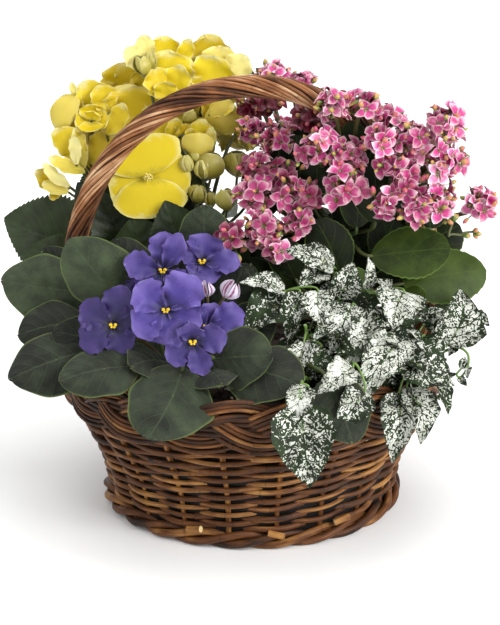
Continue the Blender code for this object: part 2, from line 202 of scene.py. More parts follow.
def rod(shape, path, radius, sides=8, up=None, closed=False, tone=0.5, shift=0.0, flat=1.0):
    """A round rod along a path. up steers its section, and where it is left out the section
    is carried along without twisting. flat under 1 thins it across up."""
    path = np.asarray(path, float)
    count = len(path)
    if closed:
        ahead = unit(np.roll(path, -1, 0) - np.roll(path, 1, 0))
    else:
        ahead = unit(np.gradient(path, axis=0))
    if up is None:
        across = np.empty_like(path)
        last = unit(np.cross(ahead[0], (0.3, 0.5, 0.81)))
        for i in range(count):
            last = unit(last - ahead[i] * np.dot(last, ahead[i]))
            across[i] = last
    else:
        across = unit(np.cross(np.broadcast_to(up, path.shape), ahead))
    other = np.cross(ahead, across)
    angles = np.arange(sides) * 2 * pi / sides
    radius = np.broadcast_to(radius, (count,))[:, None, None]
    ring = across[:, None] * np.cos(angles)[:, None] * flat
    ring = ring + other[:, None] * np.sin(angles)[:, None]
    points = (path[:, None] + ring * radius).reshape(-1, 3)
    rows = count if closed else count - 1
    i, j = np.meshgrid(np.arange(rows), np.arange(sides), indexing="ij")
    i, j = i.ravel(), j.ravel()
    after, beside = (i + 1) % count, (j + 1) % sides
    here, ahead_of = i * sides, after * sides
    quads = np.stack([here + j, here + beside, ahead_of + beside, ahead_of + j], 1)
    steps = np.linalg.norm(np.diff(path, axis=0), axis=1)
    along = np.concatenate([[0], np.cumsum(steps), [steps.sum() + steps[-1]]]) * MM + shift
    around = np.arange(sides + 1) / sides
    corners = ((j, i), (j + 1, i), (j + 1, i + 1), (j, i + 1))
    uv = np.stack([np.stack([around[a], along[b]], 1) for a, b in corners], 1)
    start = shape.count
    shape.add(points, quads, uv, tone)
    if not closed:
        shape.cap(range(start + sides - 1, start - 1, -1))
        shape.cap(range(start + (count - 1) * sides, start + count * sides))


# ---- Materials -----------------------------------------------------------------------

MATH = "ShaderNodeMath"
MULTIPLY, MULTIPLY_ADD = {"operation": "MULTIPLY"}, {"operation": "MULTIPLY_ADD"}
SUM, LESS, ABSOLUTE = {"operation": "ADD"}, {"operation": "SUBTRACT"}, {"operation": "ABSOLUTE"}
CLAMPED_SUM = {"operation": "ADD", "use_clamp": True}
CLAMPED_LESS = {"operation": "SUBTRACT", "use_clamp": True}
NOISE = "ShaderNodeTexNoise"
MIX = "ShaderNodeMix"
# A mix's colour sockets go by number, because others have the same names.
COLOUR_A, COLOUR_B, COLOUR_OUT = 6, 7, 2


def add(tree, kind, settings=None, inputs=None, out=0):
    """Adds a node with its settings, and its inputs as values or as sockets to link from.
    It returns the output that is wanted next."""
    made = tree.nodes.new(kind)
    for key, value in (settings or {}).items():
        setattr(made, key, value)
    for key, value in (inputs or {}).items():
        if isinstance(value, bpy.types.NodeSocket):
            tree.links.new(value, made.inputs[key])
        else:
            made.inputs[key].default_value = value
    return made.outputs[out]


def new_material(name, **sockets):
    """A material with only its shader, whose sockets are set by their names."""
    made = bpy.data.materials.new(name)
    made.use_nodes = True
    tree = made.node_tree
    shader = tree.nodes["Principled BSDF"]
    for key, value in sockets.items():
        shader.inputs[key.replace("_", " ")].default_value = value
    return made, tree, shader


def rgba(shade):
    """A colour for a socket, from an sRGB hex code, a level of grey or linear channels."""
    if isinstance(shade, str):
        shade = linear(shade)
    elif isinstance(shade, float):
        shade = (shade, shade, shade)
    return (*shade[:3], 1.0)


def ramp(tree, value, stops):
    """A colour between (position, colour) stops, read at a value."""
    colour = add(tree, "ShaderNodeValToRGB", None, {"Fac": value})
    elements = colour.node.color_ramp.elements
    while len(elements) < len(stops):
        elements.new(0.5)
    for element, (position, shade) in zip(elements, stops):
        element.position = position
        element.color = rgba(shade)
    return colour


def blend(tree, share, below, above, kind="MIX"):
    """One colour mixed into another by a share."""
    sockets = {0: share}
    for key, shade in ((COLOUR_A, below), (COLOUR_B, above)):
        sockets[key] = shade if isinstance(shade, bpy.types.NodeSocket) else rgba(shade)
    return add(tree, MIX, {"data_type": "RGBA", "blend_type": kind}, sockets, COLOUR_OUT)


def vary(tree, value, *patterns):
    """A value between 0 and 1 that patterns move up and down, each by up to half its amount."""
    for count, (pattern, amount) in enumerate(patterns, 1):
        shift = add(tree, MATH, MULTIPLY_ADD, {0: pattern, 1: amount, 2: -amount / 2})
        last = count == len(patterns)
        value = add(tree, MATH, CLAMPED_SUM if last else SUM, {0: value, 1: shift})
    return value


def finish_material(tree, shader, colour, relief, strength, depth):
    """Links a colour, and a bump whose depth is in millimetres."""
    tree.links.new(colour, shader.inputs["Base Color"])
    bump = {"Height": relief, "Strength": strength, "Distance": depth * MM}
    tree.links.new(add(tree, "ShaderNodeBump", None, bump), shader.inputs["Normal"])


def surface_of(tree):
    """What a mesh tells its material: uv, and its parts across and along a rod or blade, the
    tone of that rod or blade, and whether the point is under it."""
    uv = add(tree, "ShaderNodeUVMap", {"uv_map": "surface"})
    across = add(tree, "ShaderNodeSeparateXYZ", None, {"Vector": uv})
    along = across.node.outputs["Y"]
    tone = add(tree, "ShaderNodeAttribute", {"attribute_name": "tone"}, out="Fac")
    under = add(tree, "ShaderNodeAttribute", {"attribute_name": "under"}, out="Fac")
    return SimpleNamespace(uv=uv, across=across, along=along, tone=tone, under=under)


def in_place(tree):
    """The point's place in the basket, in metres."""
    return add(tree, "ShaderNodeTexCoord", out="Object")


def willow(name, dark, middle, light, cut, roughness):
    """Brown willow, steamed with its bark on and dried: a satin bark with long streaks, small
    leaf scars and a pale cut at each end. It gives the eye thin stripes along every rod."""
    made, tree, shader = new_material(name, Roughness=roughness, Specular_IOR_Level=0.25)
    at = surface_of(tree)
    # Bark streaks are about 1 mm wide and 30 mm long.
    stretched = add(tree, "ShaderNodeMapping", None, {"Vector": at.uv, "Scale": (5.0, 35.0, 1.0)})
    layer = add(tree, MATH, MULTIPLY, {0: at.tone, 1: 40.0})
    apart = add(tree, "ShaderNodeCombineXYZ", None, {"Z": layer})
    streak_at = add(tree, "ShaderNodeVectorMath", {"operation": "ADD"}, {0: stretched, 1: apart})
    fine = {"Vector": streak_at, "Scale": 1.0, "Detail": 5.0, "Roughness": 0.65}
    streaks = add(tree, NOISE, None, fine)
    # Patches where the bark is worn are about 25 mm across.
    patches = add(tree, NOISE, None, {"Vector": in_place(tree), "Scale": 40.0, "Detail": 2.0})
    level = vary(tree, at.tone, (streaks, 1.5), (patches, 0.9))
    bark = ramp(tree, level, [(0.05, dark), (0.5, middle), (0.95, light)])
    # Leaf scars ring a rod every 45 mm or so.
    first = add(tree, MATH, MULTIPLY, {0: at.tone, 1: 3.0})
    beat = add(tree, MATH, MULTIPLY_ADD, {0: at.along, 1: 22.0, 2: first})
    phase = add(tree, MATH, {"operation": "FRACT"}, {0: beat})
    scar = ramp(tree, phase, [(0.0, 0.35), (0.035, 1.0)])
    scarred = blend(tree, 0.7, bark, scar, "MULTIPLY")
    # The caps at a rod's ends lie at -1 along it.
    is_cut = add(tree, MATH, {"operation": "LESS_THAN"}, {0: at.along, 1: -0.5})
    finish_material(tree, shader, blend(tree, is_cut, scarred, cut), streaks, 0.35, 0.6)
    return made


def basket_willow():
    """The bark of every rod but the handle's."""
    found = bpy.data.materials.get("weathered_brown_willow")
    if found:
        return found
    basket = bpy.context.scene.basket
    shades = (basket.dark, basket.middle, basket.light, basket.cut)
    return willow("weathered_brown_willow", *shades, 0.55)


# ---- The basket ----------------------------------------------------------------------


def ring_points(angles, radii, heights):
    """Points round the basket, from the front toward the right."""
    return np.stack([radii * np.sin(angles), -radii * np.cos(angles), heights], -1)


def wander(rng, angles, size, waves=(1, 2, 3, 5, 8)):
    """A smooth unevenness round the basket, of about this size, from waves of these counts."""
    total = np.zeros_like(angles)
    for wave in waves:
        total += np.sin(wave * angles + rng.uniform(0, 2 * pi)) * rng.normal(0, size / wave**0.5)
    return total


def woven_radius(heights):
    """Radius of the stakes' line at a height: the side's outer face less what stands proud."""
    basket = bpy.context.scene.basket
    levels, radii = outline_of("basket_wall")
    proud = (basket.rod * 1.35 + basket.stake * 0.5) / MM
    return np.interp(heights, levels, radii) - proud


# The stakes run from inside the foot to inside the rim.
STAKE_FOOT, STAKE_ABOVE = 4, 14
# The lowest rows are of thicker rods.
STOUT_ROWS, STOUT = 3, 1.12
# A rod is let in behind the last one over this many stakes' width.
LAP_STAKES = 1.4
# Points along a rod from one stake to the next.
STAKE_STEPS = 9
# A rod's thin end narrows over some of its last points, and over some it goes in this far.
NARROW_STEPS, TUCK_STEPS, TUCK = 5, 6, 2.2
# Quick unevenness of a rod, in waves round the basket.
QUICK = (13, 17, 23, 31)


def stand_stake(side, rng, index, top):
    """One upright stake, which leans a little here and there."""
    basket = bpy.context.scene.basket
    angle = 2 * pi * (index + 0.5) / basket.stakes
    heights = np.linspace(STAKE_FOOT, top + STAKE_ABOVE, 18)
    angles = angle + np.cumsum(rng.normal(0, 0.0016, len(heights)))
    outward = np.array([sin(angle), -cos(angle), 0])
    path = ring_points(angles, woven_radius(heights), heights)
    thick = basket.stake / MM / 2 * rng.uniform(0.9, 1.08)
    rod(side, path, thick, 8, up=outward, tone=rng.uniform(0.3, 0.75), shift=index * 0.37)


def weave_rod(side, rng, row, height, share, first, span):
    """One weaver along a part of its row. It runs from its thick end to its thin end, and its
    thin end tucks in behind a stake."""
    basket = bpy.context.scene.basket
    stake_radius, rod_radius = basket.stake / MM / 2, basket.rod / MM / 2
    swing = (stake_radius + rod_radius) * 0.82
    lap = span * 0.02 + pi / basket.stakes * LAP_STAKES
    pieces = round(2 * pi / span)
    count = int(STAKE_STEPS * basket.stakes / pieces * 1.12)
    angles = np.linspace(first, first + span + lap, count)
    phase = basket.stakes * angles / 2 - pi / 2 + row * pi
    # The rows climb a little toward the right, as hand weaving does, and a rod rises as it
    # passes in front of a stake and drops back behind the next one.
    rise = np.where(np.sin(angles) < 0, 6.5, 5.0)
    climb = rise * np.sin(angles) * sin(pi * share) ** 0.8
    pull = (0.4 + 1.15 * np.maximum(np.sin(angles), -0.1)) * np.sin(phase)
    uneven = wander(rng, angles, 0.36) + wander(rng, angles, 0.24, QUICK)
    level = height + climb + pull + uneven
    stout = STOUT if row < STOUT_ROWS else 1.0
    taper = np.linspace(1.1, 0.86, count) * stout
    taper = taper + wander(rng, angles, 0.04, (9, 15, 27))
    tuck = np.ones(count)
    tuck[-NARROW_STEPS:] = np.linspace(1, 0.55, NARROW_STEPS)
    radii = woven_radius(level) + swing * np.cos(phase) + wander(rng, angles, 0.15)
    radii = radii + wander(rng, angles, 0.15, (13, 19, 29))
    radii[-TUCK_STEPS:] -= np.linspace(0, TUCK, TUCK_STEPS)
    # The lowest rods are more golden too.
    tone = 0.12 + 0.6 * rng.beta(1.3, 1.7) + (0.14 if row <= STOUT_ROWS else 0.0)
    thick = rod_radius * taper * tuck * rng.uniform(0.86, 1.1)
    tone = float(np.clip(tone, 0, 1))
    path = ring_points(angles, radii, level)
    rod(side, path, thick, 8, up=UPWARD, tone=tone, shift=rng.uniform(0, 5), flat=0.92)


class BASKET_OT_weave_side(bpy.types.Operator):
    """Weave the side: rods pass in front of one stake and behind the next, row over row"""

    bl_idname = "basket.weave_side"
    bl_label = "Weave the side"

    def execute(self, context):
        basket = context.scene.basket
        rng = np.random.default_rng(11)
        low, high = size_of("basket_wall")
        bottom, top = low[2] + 1.5, high[2] + 2
        side = Shape()
        for i in range(basket.stakes):
            stand_stake(side, rng, i, top)
        rows = int((top - bottom) / (basket.row_pitch / MM)) + 1
        for row in range(rows):
            height = bottom + (top - bottom) * row / (rows - 1)
            share = (height - bottom) / (top - bottom)
            start = rng.uniform(0, 2 * pi)
            # Two or three rods make up a row.
            pieces = rng.integers(2, 4)
            span = 2 * pi / pieces
            for part in range(pieces):
                weave_rod(side, rng, row, height, share, start + part * span, span)
        side.build("woven_side", basket_willow(), "willow", ["basket_wall"])
        return {"FINISHED"}


# Stakes and weavers end on the outside of the foot: each cut end's bearing in radians, its
# height and how far it rises.
CUT_ENDS = [(-0.42, 13.0, 7.0), (0.1, 14.0, -6.0), (0.55, 15.0, 8.0), (2.4, 12.0, 6.0)]
CUT_ENDS += [(4.1, 13.0, -7.0)]
CUT_END_RADIUS = 2.5


class BASKET_OT_lay_foot(bpy.types.Operator):
    """Lay the foot: a rope of stout rods round the base, with a few cut ends showing"""

    bl_idname = "basket.lay_foot"
    bl_label = "Lay the foot"

    def execute(self, context):
        rng = np.random.default_rng(5)
        low, high = size_of("foot_border")
        middle = (low[2] + high[2]) / 2
        outer = high[0]
        foot = Shape()
        strands, strand, turns = 3, 3.1, 8
        spread = (high[2] - low[2]) / 2 - strand
        angles = np.linspace(0, 2 * pi, 420, endpoint=False)
        for i in range(strands):
            twist = turns * angles + 2 * pi * i / strands
            radii = outer - strand - spread + spread * np.cos(twist) + wander(rng, angles, 0.15)
            heights = middle + spread * np.sin(twist) + wander(rng, angles, 0.12, (5, 7, 11))
            thick = strand * (0.97 + wander(rng, angles, 0.05, (2, 3, 5, 9)))
            path = ring_points(angles, radii, heights)
            rod(foot, path, thick, 9, up=UPWARD, closed=True, tone=0.2 + 0.2 * i)
        steps = np.linspace(0, 1, 5)
        for angle, height, rise in CUT_ENDS:
            radii, heights = outer - 3 + steps * 2.6, height + rise * steps * 0.4
            path = ring_points(angle + steps * 0.1, radii, heights)
            rod(foot, path, CUT_END_RADIUS, 9, up=UPWARD, tone=0.85, shift=angle)
        foot.build("foot_rope", basket_willow(), "willow", ["foot_border"])
        return {"FINISHED"}


class BASKET_OT_weave_base(bpy.types.Operator):
    """Weave the round base: crossed sticks in the middle and rods woven round them"""

    bl_idname = "basket.weave_base"
    bl_label = "Weave the base"

    def execute(self, context):
        rng = np.random.default_rng(8)
        low, high = size_of("basket_base")
        radius = high[0]
        middle = (low[2] + high[2]) / 2
        base = Shape()
        sticks, rings, hub = 12, 25, 12
        stick_radius, ring_radius, weave = 1.7, 1.5, 1.5
        for i in range(sticks):
            angle = pi * i / sticks
            reach = np.linspace(-radius + 2, radius - 2, 9)
            # Half of the sticks pass over the others where they cross in the middle.
            lift = 0.35 if i % 2 else -0.35
            path = np.stack([reach * cos(angle), reach * sin(angle), middle + lift + reach * 0], -1)
            rod(base, path, stick_radius, 7, up=UPWARD, tone=rng.uniform(0.3, 0.7))
        for i in range(rings):
            reach = hub + (radius - 15) * i / (rings - 1)
            # The outer rings have more points, as they are longer.
            steps = 144 if reach > 50 else 96
            angles = np.linspace(0, 2 * pi, steps, endpoint=False)
            heights = middle + weave * np.cos(sticks * angles + i * pi)
            path = ring_points(angles, reach + wander(rng, angles, 0.1), heights)
            tone = rng.beta(2.5, 2.5)
            rod(base, path, ring_radius, 6, up=UPWARD, closed=True, tone=tone, flat=1.25)
        base.build("woven_base", basket_willow(), "willow", ["basket_base"])
        return {"FINISHED"}


class BASKET_OT_plait_rim(bpy.types.Operator):
    """Plait the rim: three flat strands of five rods each, braided round the top"""

    bl_idname = "basket.plait_rim"
    bl_label = "Plait the rim"

    def execute(self, context):
        basket = context.scene.basket
        rng = np.random.default_rng(21)
        low, high = size_of("rim_border")
        outer, top, bottom = high[0], high[2], low[2]
        strands, rods, radius = 3, 5, basket.rod / MM / 2 * 0.86
        strand = rods * radius * 2
        # The strands pass this far in front of and behind the plait's middle.
        depth = 3.0
        centre = outer - depth - radius - 0.6
        middle = (top + bottom) / 2
        reach = (top - bottom - strand) / 2 + 1.0
        rim = Shape()
        angles = np.linspace(0, 2 * pi, basket.plait_turns * 34, endpoint=False)
        for i in range(strands):
            phase = basket.plait_turns * angles + 2 * pi * i / strands
            across = reach * np.sin(phase)
            slope = reach * basket.plait_turns * np.cos(phase) / centre
            lean = np.arctan(slope)
            for j in range(rods):
                offset = (j - (rods - 1) / 2) * radius * 1.96
                aside = offset * np.sin(lean) / centre
                loose = wander(rng, angles, 0.42, (2, 3, 5, 8, 13, 19))
                heights = middle + across + offset * np.cos(lean) + loose
                radii = centre + depth * np.sin(2 * phase) + wander(rng, angles, 0.2)
                # The side flares, so the plait leans out a little toward its top.
                radii += (heights - middle) * 0.05
                path = ring_points(angles - aside, radii, heights)
                tone = 0.1 + 0.6 * rng.beta(1.2, 1.9)
                thick = radius * (0.94 + wander(rng, angles, 0.06, (2, 5, 9)))
                shift = rng.uniform(0, 3)
                rod(rim, path, thick, 8, up=UPWARD, closed=True, tone=tone, shift=shift)
        # Packing rods run round inside the plait and close its eyes.
        for height in (-6, -2, 2, 6):
            path = ring_points(angles, centre + height * 0.05, middle + height + 0 * angles)
            rod(rim, path, radius * 1.2, 6, up=UPWARD, closed=True, tone=0.1)
        rim.build("plaited_rim", basket_willow(), "willow", ["rim_border"])
        return {"FINISHED"}


def bow_line(steps):
    """The handle's centre line from its left foot to its right foot, and its outward normals."""
    low, high = size_of("handle")
    radius = (high[1] - low[1]) / 2
    half_span, apex, foot = high[0] - radius, high[2] - radius, low[2]
    # The legs stand nearly upright to this height, and the bow is half an ellipse above it.
    spring, foot_in = 177.0, 5.5
    leg = np.linspace(0, 1, steps // 4)[:-1]
    rise = foot + (spring - foot) * leg
    lean = half_span - foot_in * (1 - leg) ** 1.2
    turn = np.linspace(pi, 0, steps)
    left = np.stack([-lean, leg * 0, rise], -1)
    height = spring + (apex - spring) * np.sin(turn)
    bow = np.stack([half_span * np.cos(turn), turn * 0, height], -1)
    path = np.concatenate([left, bow, left[::-1] * (-1, 1, 1)])
    steps_along = np.linalg.norm(np.diff(path, axis=0), axis=1)
    along = np.concatenate([[0], np.cumsum(steps_along)])
    even = np.linspace(0, along[-1], steps)
    path = np.stack([np.interp(even, along, path[:, k]) for k in range(3)], -1)
    ahead = unit(np.gradient(path, axis=0))
    outward = np.cross(ahead, (0, 1, 0))
    return path, outward * np.sign(outward[steps // 2, 2]), even, radius


class BASKET_OT_twist_handle(bpy.types.Operator):
    """Twist the handle: fifteen slender rods wound round a stout bow"""

    bl_idname = "basket.twist_handle"
    bl_label = "Twist the handle"

    def execute(self, context):
        basket = context.scene.basket
        rng = np.random.default_rng(3)
        path, outward, along, radius = bow_line(190)
        rods, strand = 15, basket.rod / MM / 2 * 0.67
        reach = radius - strand - 0.9
        handle = Shape()
        # The bow in the middle is given the darkest bark, as painted shade that shows only as dark
        # lines between the rods.
        rod(handle, path, reach - strand * 0.5, 10, up=(0, 1, 0), tone=-1.0)
        front = np.array((0, -1, 0))
        for i in range(rods):
            twist = 2 * pi * (along / (basket.handle_pitch / MM) + i / rods)
            twist = twist + wander(rng, along / 60, 0.05, (1, 2, 3))
            turned = np.cos(twist)[:, None] * outward + np.sin(twist)[:, None] * front
            thick = strand * (0.98 + wander(rng, along / 90, 0.05, (1, 2)))
            tone = 0.1 + 0.7 * rng.beta(1.2, 1.3)
            wound = path + turned * (reach + wander(rng, along / 50, 0.12, (1, 2)))[:, None]
            rod(handle, wound, thick, 8, up=turned, tone=tone, shift=i * 0.61)
        shades = ("#30170a", basket.handle_bark, "#d8b48c", basket.cut)
        bark = willow("polished_willow_bark", *shades, 0.46)
        handle.build("twisted_handle", bark, "handle_willow", ["handle"])
        return {"FINISHED"}


# ---- Leaves, petals and stalks -------------------------------------------------------


@dataclass
class Form:
    """How one kind of leaf or petal is shaped. thick and quilt are in millimetres, and the
    other sizes are shares of the blade's length or of half its width."""

    peak: float = 0.85  # under 1 the blade is widest near its base, over 1 near its tip
    blunt: float = 0.6  # smaller is blunter at both ends
    across: int = 8  # faces from side to side
    along: int = 14  # faces from base to tip
    thick: float = 1.0
    arch: float = 0.08  # how far the middle stands out
    fold: float = 0.15  # how far the margins come forward
    ripple: float = 0.04  # waves of the margins, out and in
    waves: float = 2.5
    teeth: int = 0
    tooth: float = 0.0
    lobe: float = 0.0  # how far the base runs back beside the stalk
    skew: float = 0.0  # how much one half is broader
    veins: int = 6
    quilt: float = 0.0  # how far the blade swells between its veins
    twist: float = 0.25
    bend: float = 0.05
    frill: float = 0.0  # unevenness of the outline


def sheet(shape, grid, along, thick, tone):
    """A thin closed blade over a grid of points, brought to an edge all round."""
    rows, columns = grid.shape[:2]
    normal = unit(np.cross(np.gradient(grid, axis=1), np.gradient(grid, axis=0)))
    top = np.arange(rows * columns).reshape(rows, columns)
    below = top.copy()
    below[1:-1, 1:-1] = rows * columns + np.arange((rows - 2) * (columns - 2)).reshape(rows - 2, -1)
    lower = (grid - normal * thick)[1:-1, 1:-1].reshape(-1, 3)
    points = np.concatenate([grid.reshape(-1, 3), lower])

    def faces(index):
        corners = [index[:-1, :-1], index[:-1, 1:], index[1:, 1:], index[1:, :-1]]
        return np.stack([c.ravel() for c in corners], 1)

    place = np.stack(np.meshgrid(np.linspace(0, 1, columns), along), -1).reshape(-1, 2)
    upper, under = faces(top), faces(below)[:, ::-1]
    uv = place[np.concatenate([upper, faces(top)[:, ::-1]])]
    side = np.concatenate([np.zeros(rows * columns), np.ones(len(lower))])
    shape.add(points, np.concatenate([upper, under]), uv, tone, side)


def blade(shape, form, base, tip, width, facing, rng, tone=None):
    """One leaf or petal from its base to its tip. It returns the line of its midrib."""
    base, tip, facing = (np.array(v, float) for v in (base, tip, facing))
    reach = np.linalg.norm(tip - base)
    ahead = (tip - base) / reach
    out = unit(facing - ahead * np.dot(facing, ahead))
    beside = np.cross(ahead, out)
    # The rows of a smooth blade lie closer toward its ends, where it turns most.
    even = np.linspace(0, 1, form.along + 1)
    t = even if form.teeth else 0.35 * even + 0.65 * (1 - np.cos(pi * even)) / 2
    along, t = t, t[:, None]
    s = np.linspace(-1, 1, form.across + 1)[None]
    edge = np.abs(s)
    # The outline keeps a little width at both ends, and teeth and frills are cut into it.
    outline = np.maximum(np.sin(pi * np.clip(t, 0, 1) ** form.peak), 0) ** form.blunt
    half = width / 2 * np.maximum(outline, 0.045 - 0.03 * t) * (1 + form.skew * s)
    if form.teeth:
        notch = (t * form.teeth) % 1.0
        half = half * (1 + form.tooth * (0.5 - notch) * edge**6)
    frill = np.sin(2 * pi * form.waves * 1.6 * t + 3 * s + rng.uniform(0, 6)) * edge**4
    half = half * (1 + form.frill * frill)
    turn = rng.uniform(-1, 1) * form.twist * (t - 0.4)
    side = half * s
    # level is how far each point stands out: arched, folded, rippled, and then quilted
    # between its veins and sunk along its midrib.
    level = form.arch * rng.uniform(0.6, 1.4) * reach * np.sin(pi * t) ** 0.9
    level = level + form.fold * rng.uniform(0.6, 1.4) * half * edge**1.7
    start = np.where(s < 0, rng.uniform(0, 2 * pi), rng.uniform(0, 2 * pi))
    swell = np.sin(2 * pi * form.waves * t + start) * np.sin(pi * t) ** 0.4
    level = level + form.ripple * width / 2 * edge**2 * swell
    ridge = np.abs(np.cos(pi * form.veins * (t - 0.3 * edge)))
    level = level - form.quilt * (1 - ridge) * (1 - edge**4) * np.sin(pi * t) ** 0.5
    level = level - form.quilt * 1.3 * np.exp(-((edge * 6) ** 2)) * (1 - t)
    sway = rng.uniform(-1, 1) * form.bend * reach * np.sin(pi * t)
    scallop = np.sin(5 * s + rng.uniform(0, 6)) * t**5
    run = reach * (t - form.lobe * edge**2 * (1 - t) ** 7 + form.frill * 0.5 * scallop)
    grid = base + ahead * run[..., None] + beside * (side * np.cos(turn) + sway)[..., None]
    grid = grid + out * (level + side * np.sin(turn))[..., None]
    tone = rng.uniform(0, 1) if tone is None else tone
    sheet(shape, grid, along, form.thick, tone)
    return grid[:, form.across // 2] - out * form.thick * 0.6


def arc(root, end, arrive, lift=0.8, steps=11, depart=UPWARD):
    """A stalk's line, which leaves its root one way and arrives at its end another way."""
    root, end = np.array(root, float), np.array(end, float)
    reach = np.linalg.norm(end - root)
    t = np.linspace(0, 1, steps)[:, None]
    leave = unit(np.array(depart, float)) * reach * lift
    arrive = unit(np.array(arrive, float)) * reach * lift
    ends = root * (2 * t**3 - 3 * t**2 + 1) + end * (3 * t**2 - 2 * t**3)
    return ends + leave * (t**3 - 2 * t**2 + t) + arrive * (t**3 - t**2)


def leaf(blades, stalks, form, root, base, tip, width, facing, rng, stalk=1.5, tone=None):
    """A blade on a stalk that runs on under it as its midrib."""
    middle = blade(blades, form, base, tip, width, facing, rng, tone)
    away = unit(np.subtract(base, root) * (1, 1, 0)) + (0, 0, 0.9)
    path = arc(root, base, np.subtract(tip, base), 0.6, depart=away)
    rib = middle[1 : int(len(middle) * 0.75) : 2]
    thick = np.linspace(1.15, 0.8, len(path)) * stalk
    fade = np.linspace(0.6, 0.2, len(rib)) * stalk
    path, thick = np.concatenate([path, rib]), np.concatenate([thick, fade])
    rod(stalks, path, thick, 7, tone=rng.uniform(0, 0.3))


def grow(stalks, root, end, arrive, ends, tone, lift=0.8, sides=7, steps=11):
    """A stalk that rises from its root, with a radius for its root and one for its end."""
    path = arc(root, end, arrive, lift, steps)
    rod(stalks, path, np.linspace(*ends, steps), sides, tone=tone)


def nearest(places, place):
    """The one of some places that is nearest to a place."""
    return min(places, key=lambda other: np.linalg.norm(np.subtract(place, other)))


# Leaves whose blades start under this height grow from the main stem, not from a fork.
LOW_LEAF = 200


def leaf_root(base, foot, forks, drop):
    """Where a leaf's stalk starts. drop is how far under the foot a low leaf's starts."""
    if base[2] >= LOW_LEAF:
        return nearest(forks, base)
    return foot + unit(np.subtract(base, foot) * (1, 1, 0)) * 4 - (0, 0, drop)


def numbered(name, count):
    """The names of CAD parts that are numbered from 1."""
    return [f"{name}_{i + 1}" for i in range(count)]


def bead(shape, start, end, radius, sides=7, steps=6, tone=0.5, full=0.5):
    """A bud or seed shape from its start to its end, fullest at a share of its length."""
    t = np.linspace(0.02, 0.98, steps)[:, None]
    start, end = np.array(start, float), np.array(end, float)
    swell = np.sin(pi * t[:, 0] ** (np.log(0.5) / np.log(full))) ** 0.75
    rod(shape, start + (end - start) * t, radius * swell, sides, tone=tone)


def turned_to(facing, roll=0.0):
    """A turn that points Z along facing, and Y as near to upward as it can, then rolled."""
    z = unit(np.array(facing, float))
    x = np.cross(np.array(UPWARD, float), z)
    x = unit(x if np.linalg.norm(x) > 1e-3 else np.cross((0, 1, 0), z))
    y = np.cross(z, x)
    return np.stack([x * cos(roll) + y * sin(roll), y * cos(roll) - x * sin(roll), z], 1)


def whorl(shape, form, count, opening, size, width, rise, rng, tone, start=None):
    """Petals round the Z axis. opening is how far they lean from it, in degrees."""
    start = rng.uniform(0, 2 * pi) if start is None else start
    for i in range(count):
        angle = start + 2 * pi * i / count + rng.normal(0, 0.06)
        lean = radians(opening + rng.normal(0, 3))
        outward = np.array((cos(angle), sin(angle), 0))
        upward = np.array(UPWARD)
        base = outward * size * 0.05 + upward * (rise + 0.35 * (i % 2))
        tip = base + (outward * sin(lean) + upward * cos(lean)) * size * rng.uniform(0.94, 1.06)
        inner = upward * sin(lean) - outward * cos(lean)
        blade(shape, form, base, tip, width * rng.uniform(0.94, 1.06), inner, rng, tone)


# Leaves and florets follow each other by this angle round a stem.
GOLDEN_ANGLE = 2.39996


def scatter(rng, count, facing, spread):
    """Directions spread evenly round facing, as florets sit on a head."""
    turn = turned_to(facing)
    for i in range(count):
        share = (i + 0.5) / count
        polar = radians(spread) * share**0.55 + rng.normal(0, 0.05)
        angle = i * GOLDEN_ANGLE + rng.normal(0, 0.15)
        yield turn @ np.array((sin(polar) * cos(angle), sin(polar) * sin(angle), cos(polar)))


# ---- Plant materials -----------------------------------------------------------------


def edge_of(tree, across):
    """How far a point is from a blade's midrib, which is 0, toward its margin, which is 1."""
    centred = add(tree, MATH, MULTIPLY_ADD, {0: across, 1: 2.0, 2: -1.0})
    return add(tree, MATH, ABSOLUTE, {0: centred})


# The midrib is one part in this many of a blade's half width.
MIDRIB = 22.0
# Side veins thin by this share on their way to the margin.
VEIN_TAPER = 0.6


def vein_lines(tree, at, count, sweep, width):
    """A mask of one midrib and paired side veins, 1 on a vein and 0 between them, and how
    far each point is from the midrib."""
    edge = edge_of(tree, at.across)
    back = add(tree, MATH, MULTIPLY_ADD, {0: edge, 1: -sweep, 2: at.along})
    beat = add(tree, MATH, MULTIPLY, {0: back, 1: float(count)})
    gap = add(tree, MATH, {"operation": "PINGPONG"}, {0: beat, 1: 0.5})
    grown = add(tree, MATH, MULTIPLY_ADD, {0: edge, 1: -VEIN_TAPER * width, 2: width})
    side = add(tree, MATH, {"operation": "DIVIDE"}, {0: gap, 1: grown})
    rib = add(tree, MATH, MULTIPLY, {0: edge, 1: MIDRIB})
    closest = add(tree, MATH, {"operation": "MINIMUM"}, {0: side, 1: rib})
    mask = add(tree, MATH, CLAMPED_LESS, {0: 1.0, 1: closest})
    return mask, edge


